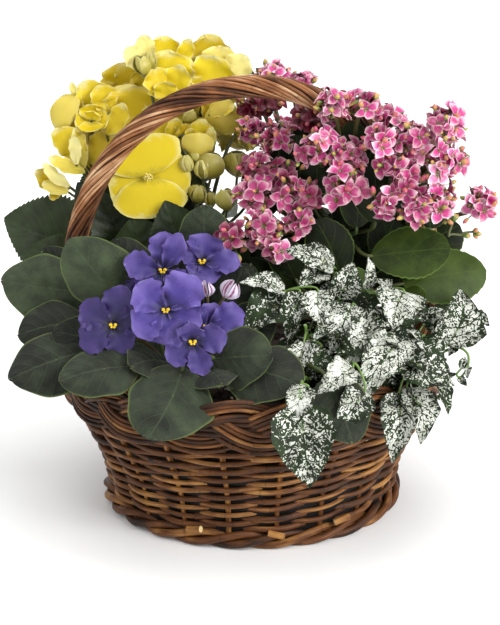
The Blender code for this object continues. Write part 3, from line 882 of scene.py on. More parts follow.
def leaf_material(
    name, shades, vein, margin, under, count, sweep, width, grain, depth, **look
):
    """A green leaf: its shades run from the darkest leaf to the lightest, its veins and its
    margin have their own colours, and its underside is paler. count, sweep and width set its
    side veins, and grain and depth are its surface's size and relief in millimetres."""
    made, tree, shader = new_material(name, **look)
    at = surface_of(tree)
    place = in_place(tree)
    veins, edge = vein_lines(tree, at, count, sweep, width)
    # Cloudy patches are about 15 mm across, and the surface's own grain is in millimetres.
    clouds = add(tree, NOISE, None, {"Vector": place, "Scale": 65.0, "Detail": 3.0})
    fine = add(tree, NOISE, None, {"Vector": place, "Scale": 1.0 / (grain * MM), "Detail": 2.0})
    level = vary(tree, at.tone, (clouds, 1.3), (fine, 0.4))
    face = ramp(tree, level, [(0.0, shades[0]), (0.5, shades[1]), (1.0, shades[2])])
    strong = add(tree, MATH, MULTIPLY, {0: veins, 1: 0.6})
    veined = blend(tree, strong, face, vein)
    rim = ramp(tree, edge, [(0.93, 0.0), (1.0, 0.9)])
    edged = blend(tree, rim, veined, margin)
    faint = add(tree, MATH, MULTIPLY, {0: veins, 1: 0.35})
    pale = blend(tree, faint, under, vein)
    relief = add(tree, MATH, MULTIPLY_ADD, {0: veins, 1: -0.5, 2: fine})
    finish_material(tree, shader, blend(tree, at.under, edged, pale), relief, 0.4, depth)
    return made


def petal_material(name, throat, middle, rim, back, spots, deep, margin, **look):
    """A petal: its colour runs from the throat to the rim with fine streaks along it, its
    margin pales from one place to the edge by a share, and deep tints the petals of low tone,
    which paints shade on petals that lie in shade. Light passes through it a little, which
    softens its shaded side."""
    made, tree, shader = new_material(name, **look)
    at = surface_of(tree)
    # Streaks are about 0.6 mm wide on a petal 20 mm wide.
    stretch = {"Vector": at.uv, "Scale": (34.0, 2.5, 1.0)}
    streak_at = add(tree, "ShaderNodeMapping", None, stretch)
    streaks = add(tree, NOISE, None, {"Vector": streak_at, "Scale": 1.0, "Detail": 3.0})
    clouds = add(tree, NOISE, None, {"Vector": in_place(tree), "Scale": 120.0, "Detail": 2.0})
    level = vary(tree, at.along, (clouds, 0.4), (streaks, 0.3))
    face = ramp(tree, level, list(zip(spots, (throat, middle, middle, rim))))
    edge = edge_of(tree, at.across)
    pale = ramp(tree, edge, [(margin[0], 0.0), (1.0, margin[1])])
    edged = blend(tree, pale, face, rim)
    # A tone over 1 takes a petal toward the rim's colour all over.
    beyond = add(tree, MATH, CLAMPED_LESS, {0: at.tone, 1: 1.0})
    paled = blend(tree, beyond, edged, rim)
    turned = add(tree, MATH, MULTIPLY, {0: at.under, 1: 0.75})
    sided = blend(tree, turned, paled, back)
    # A tone under 1 tints the petal toward deep, as painted shade.
    shaded = ramp(tree, at.tone, [(0.0, deep), (1.0, 1.0)])
    finish_material(tree, shader, blend(tree, 1.0, sided, shaded, "MULTIPLY"), streaks, 0.3, 0.3)
    return made


def stem_material(name, young, old):
    """Green stalks, some flushed with red, with a satin skin and faint lengthwise ribs."""
    found = bpy.data.materials.get(name)
    if found:
        return found
    look = dict(Subsurface_Weight=0.1, Subsurface_Radius=(0.001, 0.002, 0.0005))
    made, tree, shader = new_material(name, Roughness=0.5, **look)
    at = surface_of(tree)
    ribs_at = add(tree, "ShaderNodeMapping", None, {"Vector": at.uv, "Scale": (9.0, 60.0, 1.0)})
    ribs = add(tree, NOISE, None, {"Vector": ribs_at, "Scale": 1.0, "Detail": 2.0})
    level = vary(tree, at.tone, (ribs, 0.5))
    finish_material(tree, shader, ramp(tree, level, [(0.0, young), (1.0, old)]), ribs, 0.3, 0.2)
    return made


# ---- African violet ------------------------------------------------------------------

VIOLET_LEAF = Form(
    peak=0.86,
    blunt=0.56,
    across=16,
    along=28,
    thick=1.7,
    fold=-0.2,
    ripple=0.06,
    waves=1.5,
    lobe=0.05,
    quilt=1.3,
    frill=0.03,
)
VIOLET_PETAL = Form(
    peak=1.6,
    blunt=0.5,
    across=14,
    along=16,
    thick=0.4,
    arch=0.07,
    fold=0.2,
    ripple=0.22,
    waves=2.6,
    veins=0,
    quilt=0.7,
    twist=0.7,
    frill=0.09,
)
SEPAL = Form(peak=0.7, blunt=0.8, across=4, along=5, thick=0.5)
ROLLED_PETAL = Form(peak=1.0, across=6, along=8, thick=0.4, arch=-0.22, fold=-0.35)
CROWN = (-58, -64, 118)

# Each leaf: where its blade starts, its tip, its width, the way it faces and its tone, which is
# partly the leaf's own shade of green and partly painted shade on leaves that lie in shade.
VIOLET_LEAVES = [
    ((-97, -66, 175), (-133, -74, 226), 53, (-0.25, -1, 0.25), 0.6),
    ((-128, -36, 176), (-190, -38, 186), 54, (0, -0.9, 0.5), 0.55),
    ((-126, -58, 158), (-174, -70, 152), 46, (0, -0.7, 0.7), 0.0),
    ((-120, -92, 148), (-175, -110, 131), 54, (-0.2, -0.75, 0.65), 0.1),
    ((-84, -116, 144), (-136, -132, 137), 45, (0, -0.6, 0.8), 0.25),
    ((-50, -120, 142), (-71, -172, 109), 62, (0, -0.78, 0.62), 0.35),
    ((-28, -112, 148), (14, -134, 157), 47, (0.1, -0.85, 0.5), 0.3),
    ((-14, -112, 142), (34, -147, 139), 52, (0, -0.7, 0.7), 0.1),
    ((-36, -36, 202), (-36, -32, 243), 40, (0, -1, 0.1), 0.35),
    ((54, -132, 138), (70, -162, 102), 44, (0, -0.75, 0.65), 0.3),
    ((-92, -78, 146), (-146, -86, 160), 40, (-0.1, -0.75, 0.65), 0.0),
    ((-62, -98, 142), (-86, -126, 146), 38, (-0.1, -0.7, 0.7), 0.0),
    ((-16, -100, 146), (10, -118, 158), 32, (0, -0.8, 0.6), 0.1),
    ((-84, -30, 176), (-104, -26, 216), 40, (0, -0.95, 0.3), 0.0),
    ((-22, -52, 168), (0, -46, 200), 34, (0.1, -0.9, 0.4), 0.1),
    ((-62, -18, 176), (-60, -4, 214), 38, (0, -0.8, 0.6), 0.0),
    ((-28, -70, 164), (-6, -68, 204), 38, (0, -0.9, 0.4), 0.1),
    ((-14, -78, 152), (16, -84, 178), 36, (0.1, -0.8, 0.5), 0.1),
    ((-100, -60, 146), (-112, -48, 192), 42, (-0.1, -0.9, 0.4), 0.0),
    ((-56, -92, 146), (-40, -118, 146), 36, (0, -0.8, 0.6), 0.0),
    ((-34, -104, 138), (-20, -142, 138), 40, (0, -0.7, 0.7), 0.1),
    ((-130, -30, 172), (-160, -20, 206), 40, (-0.1, -0.95, 0.3), 0.0),
]

# Each flower: its centre, the way it faces and how light it is, which is partly painted shade
# on the flowers that lie in shade. Then for each lobe, from the back one to the front one: its
# bearing clockwise from the top, its length, its width and how far forward its tip comes.
VIOLETS = [
    (
        ((-65, -80, 204), (-0.05, -0.95, 0.3), 0.65),
        [(125, 20, 19, 2), (-138, 25, 19, 0), (4, 28, 20, 4), (28, 29, 16, 10), (-78, 28, 19, 3)],
    ),
    (
        ((-37, -66, 207), (0.05, -0.87, 0.5), 0.6),
        [(-58, 15, 16, 1), (12, 21, 25, 3), (-150, 13, 15, 1), (158, 18, 20, 2), (97, 28, 18, 3)],
    ),
    (
        ((-62, -101, 180), (0, -0.95, 0.3), 1.0),
        [(108, 27, 24, 0), (172, 24, 26, 2), (42, 32, 28, 4), (-50, 27, 24, 5), (-125, 27, 24, 3)],
    ),
    (
        ((-100, -99, 168), (-0.1, -0.95, 0.3), 0.05),
        [(78, 22, 20, 1), (12, 29, 22, 4), (150, 22, 22, 2), (-62, 27, 22, 3), (-122, 27, 22, 4)],
    ),
    (
        ((-42, -123, 163), (0, -0.95, 0.2), 0.4),
        [(-5, 14, 18, 9), (75, 24, 20, 2), (-62, 20, 17, 3), (-130, 22, 17, 2), (160, 24, 16, 4)],
    ),
    (
        ((-33, -99, 167), (0.15, -0.93, 0.3), 0.75),
        [(-120, 16, 15, 0), (20, 18, 16, 1), (-35, 17, 16, 2), (125, 20, 18, 2), (75, 28, 22, 5)],
    ),
    (
        ((-84, -76, 180), (-0.3, -0.8, 0.5), 0.1),
        [(80, 18, 16, 0), (5, 20, 18, 1), (150, 18, 18, 1), (-60, 20, 18, 3), (-130, 20, 18, 2)],
    ),
]

# Each striped bud: where it starts, its tip and its scale.
STRIPED_BUDS = [
    ((-32, -92, 188), (-33, -94, 199), 0.75),
    ((-20, -92, 187), (-12, -94, 200), 1.0),
]


def violet_flower(petals, eyes, centre, facing, tone, lobes, rng):
    """Five wavy lobes round a dark eye with two yellow anthers."""
    flower = Shape()
    for i, (bearing, reach, wide, forward) in enumerate(lobes):
        angle = radians(bearing)
        outward = np.array((sin(angle), cos(angle), 0))
        base = outward * 1.4 + (0, 0, 0.35 * i - 1.5)
        tip = outward * reach + (0, 0, forward)
        blade(flower, VIOLET_PETAL, base, tip, wide * 1.12, (0, 0, 1), rng, tone)
    turn = turned_to(facing)
    petals.stamp(flower, turn, centre)
    eye = Shape()
    for side in (-1, 1):
        foot, end = (side * 0.4, 0.2, 0.6), (side * 2.7, 0.9, 3.2)
        bead(eye, foot, end, 1.35, tone=rng.uniform(0.4, 1), full=0.6)
        foot, end = (side * 0.3, -0.6, 0.6), (side * 1.6, -1.6, 2.8)
        bead(eye, foot, end, 1.0, tone=rng.uniform(0.2, 0.8))
    eyes.stamp(eye, turn, centre)


def downy_violet_leaf():
    """African violet leaves, matt under a fine down: dark grey-green, with a fresher margin
    and a paler underside."""
    return leaf_material(
        "downy_violet_leaf",
        shades=("#151a11", "#2f3827", "#485438"),
        vein="#404b33",
        margin="#5b6a36",
        under="#565e40",
        count=6,
        sweep=0.3,
        width=0.04,
        grain=1.2,
        depth=1.0,
        Roughness=0.6,
        Specular_IOR_Level=0.2,
        Sheen_Weight=0.1,
    )


def violet_petals():
    """African violet petals, thin and faintly glittering, velvety blue-violet and darker at
    the eye, with lighter wavy rims."""
    return petal_material(
        "velvety_violet_petal",
        throat="#170f4c",
        middle="#3b2a7c",
        rim="#67559f",
        back="#8579b4",
        spots=(0.15, 0.36, 0.55, 1.0),
        deep="#88729f",
        margin=(0.6, 0.75),
        Roughness=0.6,
        Sheen_Weight=0.2,
        Sheen_Roughness=0.4,
        Subsurface_Weight=0.2,
        Subsurface_Radius=(0.001, 0.0006, 0.002),
    )


def striped_bud():
    """Violet buds: white petals rolled shut, each with a plum stripe down its back."""
    made, tree, shader = new_material("striped_violet_bud", Roughness=0.5, Subsurface_Weight=0.2)
    at = surface_of(tree)
    edge = edge_of(tree, at.across)
    frayed = add(tree, NOISE, None, {"Vector": in_place(tree), "Scale": 500.0})
    shifted = add(tree, MATH, MULTIPLY_ADD, {0: frayed, 1: 0.7, 2: edge})
    stripe = ramp(tree, shifted, [(0.5, "#7a2f5c"), (0.75, "#cdbfd2")])
    finish_material(tree, shader, stripe, frayed, 0.2, 0.2)
    return made


def pollen(name, dark, light):
    """Anthers dusted with pollen: matt and granular, in two near yellows."""
    made, tree, shader = new_material(name, Roughness=0.8)
    grains = add(tree, NOISE, None, {"Vector": in_place(tree), "Scale": 1800.0, "Detail": 2.0})
    shades = [(0.3, dark), (0.7, light)]
    finish_material(tree, shader, ramp(tree, grains, shades), grains, 0.6, 0.4)
    return made


def green_stems():
    return stem_material("soft_green_stalk", "#3d5426", "#6b5236")


class BASKET_OT_plant_violet(bpy.types.Operator):
    """Plant the African violet: a rosette of downy leaves under seven flowers"""

    bl_idname = "basket.plant_violet"
    bl_label = "African violet"

    def execute(self, context):
        rng = np.random.default_rng(42)
        leaves, stalks, petals, eyes, striped = (Shape() for _ in range(5))
        crown = np.array(CROWN, float)
        core = [crown + (0, 0, rise) for rise in (-10, -4, 3)]
        rod(stalks, core, [9, 10, 7], 12, tone=0.2)
        for row in VIOLET_LEAVES:
            root = crown + unit(np.subtract(row[0], crown) * (1, 1, 0.1)) * 5
            leaf(leaves, stalks, VIOLET_LEAF, root, *row[:4], rng, 2.0, row[4])
        # Old leaves lie round the back and low down, where nothing else fills the basket.
        for i in range(7):
            bearing = radians(-35 + 28 * i)
            outward = np.array((cos(bearing), sin(bearing), 0))
            base = crown + outward * 30 + (0, 0, rng.uniform(8, 20))
            tip = base + outward * rng.uniform(30, 38) + (0, 0, rng.uniform(0, 22))
            root = crown + outward * 5
            leaf(leaves, stalks, VIOLET_LEAF, root, base, tip, 36, (0, -0.1, 1), rng, 2.0)
        for (centre, facing, tone), lobes in VIOLETS:
            violet_flower(petals, eyes, centre, facing, tone, lobes, rng)
            back = np.array(centre) - unit(np.array(facing, float)) * 1.5
            root = crown + rng.uniform(-4, 4, 3) * (1, 1, 0)
            grow(stalks, root, back, facing, (1.5, 1.0), 0.75, 0.9)
            # Five narrow sepals hold the back of the flower.
            for k in range(5):
                turn = turned_to(facing, 1.2 * k)
                tip = back + turn @ np.array((0, 5.5, -1.5))
                blade(stalks, SEPAL, back, tip, 2.6, turn[:, 2], rng, 0.3)
        for start, tip, scale in STRIPED_BUDS:
            bud = Shape()
            whorl(bud, ROLLED_PETAL, 4, 8, 15 * scale, 8 * scale, 0, rng, 1.0)
            striped.stamp(bud, turned_to(np.subtract(tip, start)), start)
            rod(stalks, arc(crown, start, np.subtract(tip, start)), 1.0, 6, tone=0.7)
        leaf_nodes = numbered("violet_leaf", 10)
        flower_nodes = numbered("violet_flower", 6)
        leaves.build("violet_foliage", downy_violet_leaf(), "violet_leaf", leaf_nodes)
        petals.build("violet_petals", violet_petals(), "violet_petal", flower_nodes)
        striped.build("violet_buds", striped_bud(), "violet_petal")
        anthers = pollen("deep_yellow_violet_pollen", "#c98f0c", "#f6dc35")
        eyes.build("violet_anthers", anthers, "violet_petal")
        stalks.build("violet_stalks", green_stems(), "plant_stem", ["violet_crown"])
        return {"FINISHED"}


# ---- Begonia -------------------------------------------------------------------------

BEGONIA_LEAF = Form(
    peak=0.66,
    blunt=0.8,
    across=14,
    along=60,
    thick=1.1,
    arch=0.1,
    fold=0.18,
    ripple=0.05,
    waves=2.0,
    teeth=20,
    tooth=0.12,
    lobe=0.1,
    skew=0.1,
    quilt=0.9,
)
TEPAL = Form(
    peak=1.25,
    blunt=0.4,
    across=14,
    thick=0.4,
    arch=-0.05,
    fold=0.1,
    ripple=0.22,
    waves=2.2,
    veins=2,
    quilt=0.7,
    twist=0.3,
    frill=0.09,
)
CUPPED_TEPAL = Form(
    peak=1.2,
    blunt=0.44,
    across=12,
    along=12,
    thick=0.4,
    arch=-0.2,
    fold=0.3,
    ripple=0.1,
    waves=1.6,
    veins=2,
    quilt=0.4,
    twist=0.3,
    frill=0.04,
)
BROAD_TEPAL = Form(
    peak=1.15,
    blunt=0.36,
    across=14,
    thick=0.4,
    arch=0.03,
    fold=-0.03,
    ripple=0.03,
    waves=1.4,
    veins=1,
    quilt=0.3,
    twist=0.02,
    bend=0,
    frill=0.03,
)
BUD_SKIN = Form(
    peak=1.05,
    blunt=0.5,
    across=10,
    along=12,
    thick=0.6,
    arch=-0.26,
    fold=0.5,
    ripple=0.02,
    veins=0,
    quilt=0.1,
    twist=0.05,
)
BEGONIA_FOOT = (-72, 50, 150)
# Where the main stem ends in forks, from its foot.
BEGONIA_FORKS = [(-26, 2, 36), (6, 0, 44), (34, 4, 34), (-6, 30, 40)]

# Each leaf: where its blade starts, its tip, its width and the way it faces.
BEGONIA_LEAVES = [
    ((-138, 36, 196), (-200, 44, 217), 64, (-0.1, -0.95, 0.3)),
    ((-104, 34, 190), (-122, 36, 240), 46, (0.1, -1, 0.1)),
    ((-52, 14, 186), (-68, 10, 238), 52, (0, -1, 0.1)),
    ((-110, 100, 165), (-150, 140, 160), 64, (-0.3, 0.4, 0.85)),
    ((-40, 110, 160), (-30, 162, 142), 66, (0, 0.6, 0.8)),
    ((-134, 26, 176), (-184, 24, 192), 46, (-0.2, -0.95, 0.2)),
    ((-86, 24, 178), (-92, 18, 226), 54, (0, -1, 0.1)),
    ((-34, 22, 176), (-22, 16, 224), 48, (0.1, -1, 0.1)),
    ((-112, 40, 208), (-140, 44, 246), 46, (-0.1, -0.9, 0.4)),
    ((-70, 42, 204), (-58, 40, 250), 44, (0.1, -0.95, 0.2)),
    ((-8, 24, 170), (14, 20, 210), 44, (0.1, -0.95, 0.2)),
    ((-108, 62, 224), (-126, 80, 262), 48, (-0.5, 0.5, 0.7)),
    ((-60, 88, 214), (-64, 118, 250), 52, (0, 0.8, 0.6)),
    ((-128, 78, 186), (-172, 92, 206), 54, (-0.6, 0.3, 0.7)),
    ((-90, 104, 190), (-112, 146, 196), 54, (-0.2, 0.8, 0.6)),
    ((-36, 96, 194), (-14, 136, 200), 50, (0.1, 0.8, 0.6)),
    ((-4, 72, 176), (22, 104, 178), 44, (0.3, 0.6, 0.75)),
    ((-76, 112, 150), (-84, 160, 136), 52, (0, 0.7, 0.7)),
]

# A bloom's tepals from the back one to the front one: each one's bearing clockwise from
# the top, its length, its width and how far it leans from the way the bloom faces.
DISC = [(122, 30, 48, 91), (62, 30, 50, 90), (-96, 31, 56, 89)]
DISC += [(176, 31, 58, 88), (-14, 32, 62, 86)]
FLAT = [(100, 28, 36, 90), (-90, 29, 40, 88), (180, 26, 44, 86), (5, 27, 48, 82)]
CUP = [(90, 20, 30, 70), (-90, 20, 30, 70), (0, 22, 34, 66), (180, 18, 32, 60)]
CUP += [(30, 15, 20, 30), (-150, 14, 20, 25)]
SMALL_CUP = [(-100, 14, 18, 58), (100, 14, 18, 58), (0, 13, 20, 52)]
SMALL_CUP += [(180, 13, 22, 55), (20, 10, 14, 16)]

# Each bloom: its centre, the way it faces, its tepals and how light it is, which is partly
# painted shade.
BEGONIAS = [
    ((-81, 22, 254), (0, -0.97, 0.22), DISC, 0.75),
    ((-128, 50, 294), (0.1, -0.85, 0.5), SMALL_CUP, 0.8),
    ((-120, 62, 276), (0, -0.95, 0.2), FLAT, 0.2),
    ((-50, 62, 298), (0, -0.8, 0.5), FLAT, 0.3),
    ((-84, 62, 300), (0, -0.85, 0.5), FLAT, 0.4),
    ((-62, 82, 328), (0, 0.5, 0.85), CUP, 0.7),
    ((-104, 86, 314), (-0.3, 0.5, 0.8), CUP, 0.6),
    ((-32, 94, 320), (0.1, 0.8, 0.6), FLAT, 0.8),
    ((-92, 98, 292), (-0.3, 0.85, 0.4), CUP, 0.8),
    ((-138, 80, 262), (-0.8, 0.4, 0.4), CUP, 0.7),
    ((-60, 108, 270), (0, 0.95, 0.3), FLAT, 0.8),
    ((-14, 98, 276), (0.3, 0.9, 0.2), CUP, 0.6),
]

# Single tepals of the blooms that are seen from the side: where each one starts, its tip,
# its width, the way its inner face looks and how light it is. Under 1 that is partly painted
# shade, and over 1 the tepal pales toward its rim's colour.
BEGONIA_TEPALS = [
    ((-100, 72, 306), (-99, 68, 338), 42, (0, -0.85, 0.5), 0.4),
    ((-95, 60, 290), (-96, 56, 322), 45, (0, -0.9, 0.45), 0.4),
    ((-116, 57, 298), (-133, 53, 325), 28, (-0.3, -0.85, 0.4), 0.75),
    ((-114, 54, 300), (-119, 53, 323), 22, (0, -0.9, 0.4), 0.55),
    ((-136, 57, 300), (-143, 54, 324), 9, (-0.3, -0.9, 0.2), 1.6),
    ((-132, 58, 298), (-135, 56, 312), 8, (0.3, -0.9, 0.2), 0.3),
    ((-139, 55, 314), (-157, 50, 289), 21, (0.3, 0.85, 0.2), 0.45),
    ((-140, 58, 292), (-149, 56, 314), 24, (-0.3, -0.85, 0.4), 0.2),
    ((-128, 60, 290), (-132, 58, 316), 24, (-0.1, -0.9, 0.4), 0.3),
    ((-120, 56, 286), (-122, 55, 308), 20, (0, -0.9, 0.4), 0.4),
    ((-136, 54, 268), (-146, 52, 296), 22, (-0.2, -0.9, 0.4), 0.3),
    ((-76, 70, 322), (-82, 68, 346), 26, (-0.1, -0.9, 0.4), 0.5),
    ((-50, 66, 318), (-50, 65, 344), 28, (0, -0.9, 0.4), 0.4),
    ((-116, 46, 284), (-101, 45, 308), 16, (0.1, -0.9, 0.4), 0.45),
    ((-130, 50, 260), (-113, 50, 287), 23, (0, -0.95, 0.3), 0.35),
    ((-135, 47, 262), (-155, 43, 289), 25, (-0.3, -0.9, 0.3), 0.6),
    ((-134, 43, 257), (-139, 43, 290), 13, (0.3, -0.9, 0.2), 1.3),
    ((-140, 39, 261), (-141, 36, 284), 10, (0, -0.95, 0.3), 1.9),
    ((-133, 39, 255), (-160, 35, 268), 12, (-0.1, -0.8, 0.6), 1.2),
    ((-145, 40, 242), (-172, 36, 255), 17, (-0.2, -0.8, 0.5), 0.3),
    ((-145, 36, 244), (-165, 33, 262), 11, (0, -0.75, 0.65), 1.9),
    ((-146, 34, 240), (-166, 32, 247), 11, (0, -0.8, 0.4), 1.4),
    ((-150, 36, 242), (-161, 33, 235), 8, (-0.2, -0.9, -0.2), 0.2),
    ((-82, 53, 336), (-99, 50, 351), 18, (-0.3, -0.85, 0.4), 1.8),
    ((-84, 56, 340), (-86, 54, 361), 16, (0, -0.95, 0.3), 1.7),
    ((-70, 65, 334), (-72, 64, 359), 30, (0, -0.9, 0.4), 1.0),
    ((-61, 61, 338), (-48, 59, 357), 13, (0.3, -0.9, 0.3), 0.8),
    ((-65, 57, 312), (-65, 54, 349), 42, (0, -0.9, 0.4), 0.95),
    ((-71, 51, 312), (-76, 50, 336), 27, (0.4, -0.85, 0.3), 0.7),
    ((-66, 50, 312), (-56, 49, 338), 24, (-0.3, -0.85, 0.3), 0.9),
    ((-68, 46, 310), (-68, 44, 326), 20, (0, -0.9, 0.4), 0.6),
    ((-84, 62, 318), (-90, 60, 334), 20, (-0.1, -0.9, 0.4), 0.4),
    ((-32, 67, 322), (-37, 66, 360), 34, (-0.1, -0.9, 0.4), 0.5),
    ((-30, 66, 324), (-24, 65, 352), 30, (0.2, -0.9, 0.4), 1.5),
    ((-37, 58, 313), (-30, 57, 345), 37, (0, -0.9, 0.45), 0.9),
    ((-20, 62, 322), (-5, 63, 344), 25, (0.2, -0.85, 0.5), 1.8),
    ((-38, 56, 310), (-51, 56, 327), 20, (-0.2, -0.9, 0.4), 0.6),
    ((-24, 50, 313), (-21, 47, 284), 28, (0, 0.95, 0.1), 0.2),
    ((-40, 54, 309), (-31, 52, 289), 9, (-0.2, -0.95, 0.1), 0.1),
    ((-34, 45, 300), (-14, 45, 307), 12, (0, -0.8, 0.6), 0.4),
    ((-69, 43, 270), (-74, 45, 299), 23, (0, -0.9, 0.4), 0.65),
    ((-64, 41, 274), (-59, 43, 297), 15, (0.2, -0.9, 0.3), 0.5),
    ((-60, 39, 280), (-50, 38, 293), 11, (0.1, -0.9, 0.3), 0.1),
    ((-42, 37, 270), (-38, 38, 297), 21, (0, -0.9, 0.4), 0.8),
    ((-44, 33, 268), (-42, 29, 288), 26, (0, 0.95, 0.1), 0.55),
    ((-38, 34, 270), (-31, 34, 291), 10, (0.3, -0.9, 0.3), 1.4),
    ((-46, 36, 270), (-49, 36, 290), 12, (-0.3, -0.9, 0.3), 0.7),
]

# Each bud: where it starts, its tip, its radius and how pale it is.
BEGONIA_BUDS = [
    ((-84, 49, 331), (-89, 47, 346), 5.5, 0.9),
    ((-80, 51, 334), (-80, 50, 349), 4.5, 0.7),
    ((-33, 31, 251), (-31, 29, 272), 11, 0.6),
    ((-38, 27, 252), (-39, 25, 267), 6.5, 1.2),
    ((-12, 34, 252), (-13, 32, 273), 12, 0.45),
    ((-43, 20, 234), (-42, 18, 249), 7.5, 0.5),
    ((-20, 15, 229), (-20, 13, 246), 9.5, 1.1),
    ((-32, 18, 231), (-33, 16, 243), 4.5, 0.5),
    ((-52, 36, 282), (-46, 34, 272), 5, 1.6),
    ((-48, 34, 276), (-42, 32, 266), 4.5, 1.8),
    ((-52, 28, 271), (-49, 25, 258), 4.5, 1.8),
    ((-54, 46, 294), (-46, 44, 303), 5, 0.6),
    ((-2, 30, 240), (-4, 28, 254), 6, 0.1),
    ((-112, 92, 236), (-120, 98, 256), 8, 0.4),
    ((-40, 104, 236), (-36, 112, 254), 8, 0.3),
]


def begonia_bloom(petals, eyes, centre, facing, tepals, tone, rng):
    """Broad tepals, each one's foot under the next one's, round a small tuft of stamens."""
    flower = Shape()
    for i, (bearing, reach, wide, lean) in enumerate(tepals):
        angle, lean = radians(bearing), radians(lean)
        outward, ahead = np.array((sin(angle), cos(angle), 0)), np.array(UPWARD)
        base = outward * 1.2 + ahead * (1.4 * i - 3.5)
        tip = base + (outward * sin(lean) + ahead * cos(lean)) * reach
        form = BROAD_TEPAL if lean > 1.4 else TEPAL if lean > 1.0 else CUPPED_TEPAL
        blade(flower, form, base, tip, wide, ahead * sin(lean) - outward * cos(lean), rng, tone)
    turn = turned_to(facing)
    petals.stamp(flower, turn, centre)
    if tepals in (DISC, FLAT):
        eye = Shape()
        for direction in scatter(rng, 18, UPWARD, 60):
            bead(eye, direction + (0, 0, 1), direction * 4.6 + (0, 0, 4), 0.85, 5, 5, full=0.8)
        eyes.stamp(eye, turn, centre)


def smooth_begonia_leaf():
    """Begonia leaves, smooth with a low gloss: dark green, with paler veins that fan out and
    a dull green underside."""
    return leaf_material(
        "smooth_begonia_leaf",
        shades=("#10160b", "#1c2613", "#2c381c"),
        vein="#37452a",
        margin="#3a4a27",
        under="#4c5838",
        count=5,
        sweep=0.45,
        width=0.06,
        grain=0.8,
        depth=0.4,
        Roughness=0.45,
        Specular_IOR_Level=0.3,
    )


def begonia_tepals():
    """Begonia tepals, smooth, moist and a little translucent: clear yellow with paler rims
    and a greener back."""
    return petal_material(
        "translucent_begonia_tepal",
        throat="#c2b224",
        middle="#dfc91d",
        rim="#ebe49e",
        back="#d8cb6c",
        spots=(0.02, 0.2, 0.82, 1.0),
        deep="#d8cb98",
        margin=(0.82, 0.8),
        Roughness=0.5,
        Specular_IOR_Level=0.35,
        Subsurface_Weight=0.5,
        Subsurface_Radius=(0.004, 0.0035, 0.0006),
    )


def begonia_bud_skin():
    """Closed begonia buds, smooth and waxy, pale green at the seam and yellow at the tip."""
    return petal_material(
        "waxy_begonia_bud",
        throat="#7c7f2a",
        middle="#b9ad48",
        rim="#dcd49a",
        back="#b3a84a",
        spots=(0.02, 0.3, 0.6, 1.0),
        deep="#a39a60",
        margin=(0.6, 0.5),
        Roughness=0.4,
        Subsurface_Weight=0.3,
        Subsurface_Radius=(0.002, 0.003, 0.001),
    )


class BASKET_OT_plant_begonia(bpy.types.Operator):
    """Plant the begonia: dark toothed leaves under cupped yellow blooms and green buds"""

    bl_idname = "basket.plant_begonia"
    bl_label = "Begonia"

    def execute(self, context):
        rng = np.random.default_rng(7)
        leaves, stalks, petals, buds, eyes = (Shape() for _ in range(5))
        foot = np.array(BEGONIA_FOOT, float)
        core = [(*BEGONIA_FOOT[:2], height) for height in (112, 120, 135, 150, 160)]
        rod(stalks, core, [10, 9, 8, 7, 4], 12, tone=0.4)
        forks = [foot + step for step in BEGONIA_FORKS]
        for fork in forks:
            grow(stalks, foot - (0, 0, 15), fork, UPWARD, (4.5, 3.2), 0.45, 0.6, 9, 8)
        for row in BEGONIA_LEAVES:
            root = leaf_root(row[0], foot, forks, 12)
            leaf(leaves, stalks, BEGONIA_LEAF, root, *row, rng, 1.7)
        for centre, facing, tepals, tone in BEGONIAS:
            begonia_bloom(petals, eyes, centre, facing, tepals, tone, rng)
            grow(stalks, nearest(forks, centre), centre, facing, (2.0, 1.4), 0.35, 0.9)
        for start, tip, width, facing, tone in BEGONIA_TEPALS:
            form = TEPAL if facing[1] < 0 else CUPPED_TEPAL
            blade(petals, form, start, tip, width, facing, rng, tone)
            # Its stalk comes up from behind.
            behind = (0, -1, 0.3)
            grow(stalks, nearest(forks, start), start, behind, (1.5, 0.8), 0.35, 0.6, 6)
        for start, tip, radius, pale in BEGONIA_BUDS:
            bud = Shape()
            ahead = np.subtract(tip, start)
            size = np.linalg.norm(ahead)
            whorl(bud, BUD_SKIN, 2, 8, size, radius * 2.3, 0, rng, pale, 0.4)
            whorl(bud, BUD_SKIN, 2, 3, size * 0.94, radius * 2.0, 0.3, rng, pale, 1.8)
            buds.stamp(bud, turned_to(ahead), start)
            grow(stalks, nearest(forks, start), start, ahead, (1.6, 1.1), 0.3)
        leaf_nodes = numbered("begonia_leaf", 5)
        bloom_nodes = numbered("begonia_bloom", 7)
        leaves.build("begonia_foliage", smooth_begonia_leaf(), "begonia_leaf", leaf_nodes)
        petals.build("begonia_tepals", begonia_tepals(), "begonia_petal", bloom_nodes)
        buds.build("begonia_closed_buds", begonia_bud_skin(), "begonia_petal", ["begonia_buds"])
        stamens = pollen("pale_begonia_pollen", "#dfc634", "#f5efae")
        eyes.build("begonia_stamens", stamens, "begonia_petal")
        stalks.build("begonia_stalks", green_stems(), "plant_stem", ["begonia_stem"])
        return {"FINISHED"}


# ---- Kalanchoe -----------------------------------------------------------------------

KALANCHOE_LEAF = Form(
    peak=1.05,
    blunt=0.5,
    across=10,
    along=33,
    thick=2.4,
    arch=0.05,
    fold=-0.1,
    ripple=0.05,
    waves=1.5,
    teeth=11,
    tooth=0.07,
    veins=4,
    quilt=0.3,
    twist=0.2,
)
FLORET_PETAL = Form(
    peak=0.95,
    blunt=0.68,
    across=4,
    along=5,
    thick=0.35,
    arch=0.14,
    fold=0.4,
    ripple=0.14,
    waves=1.0,
    veins=0,
    twist=0.8,
    frill=0.06,
)
TUBE_SEPAL = Form(peak=0.7, blunt=0.8, across=2, along=2, thick=0.4)
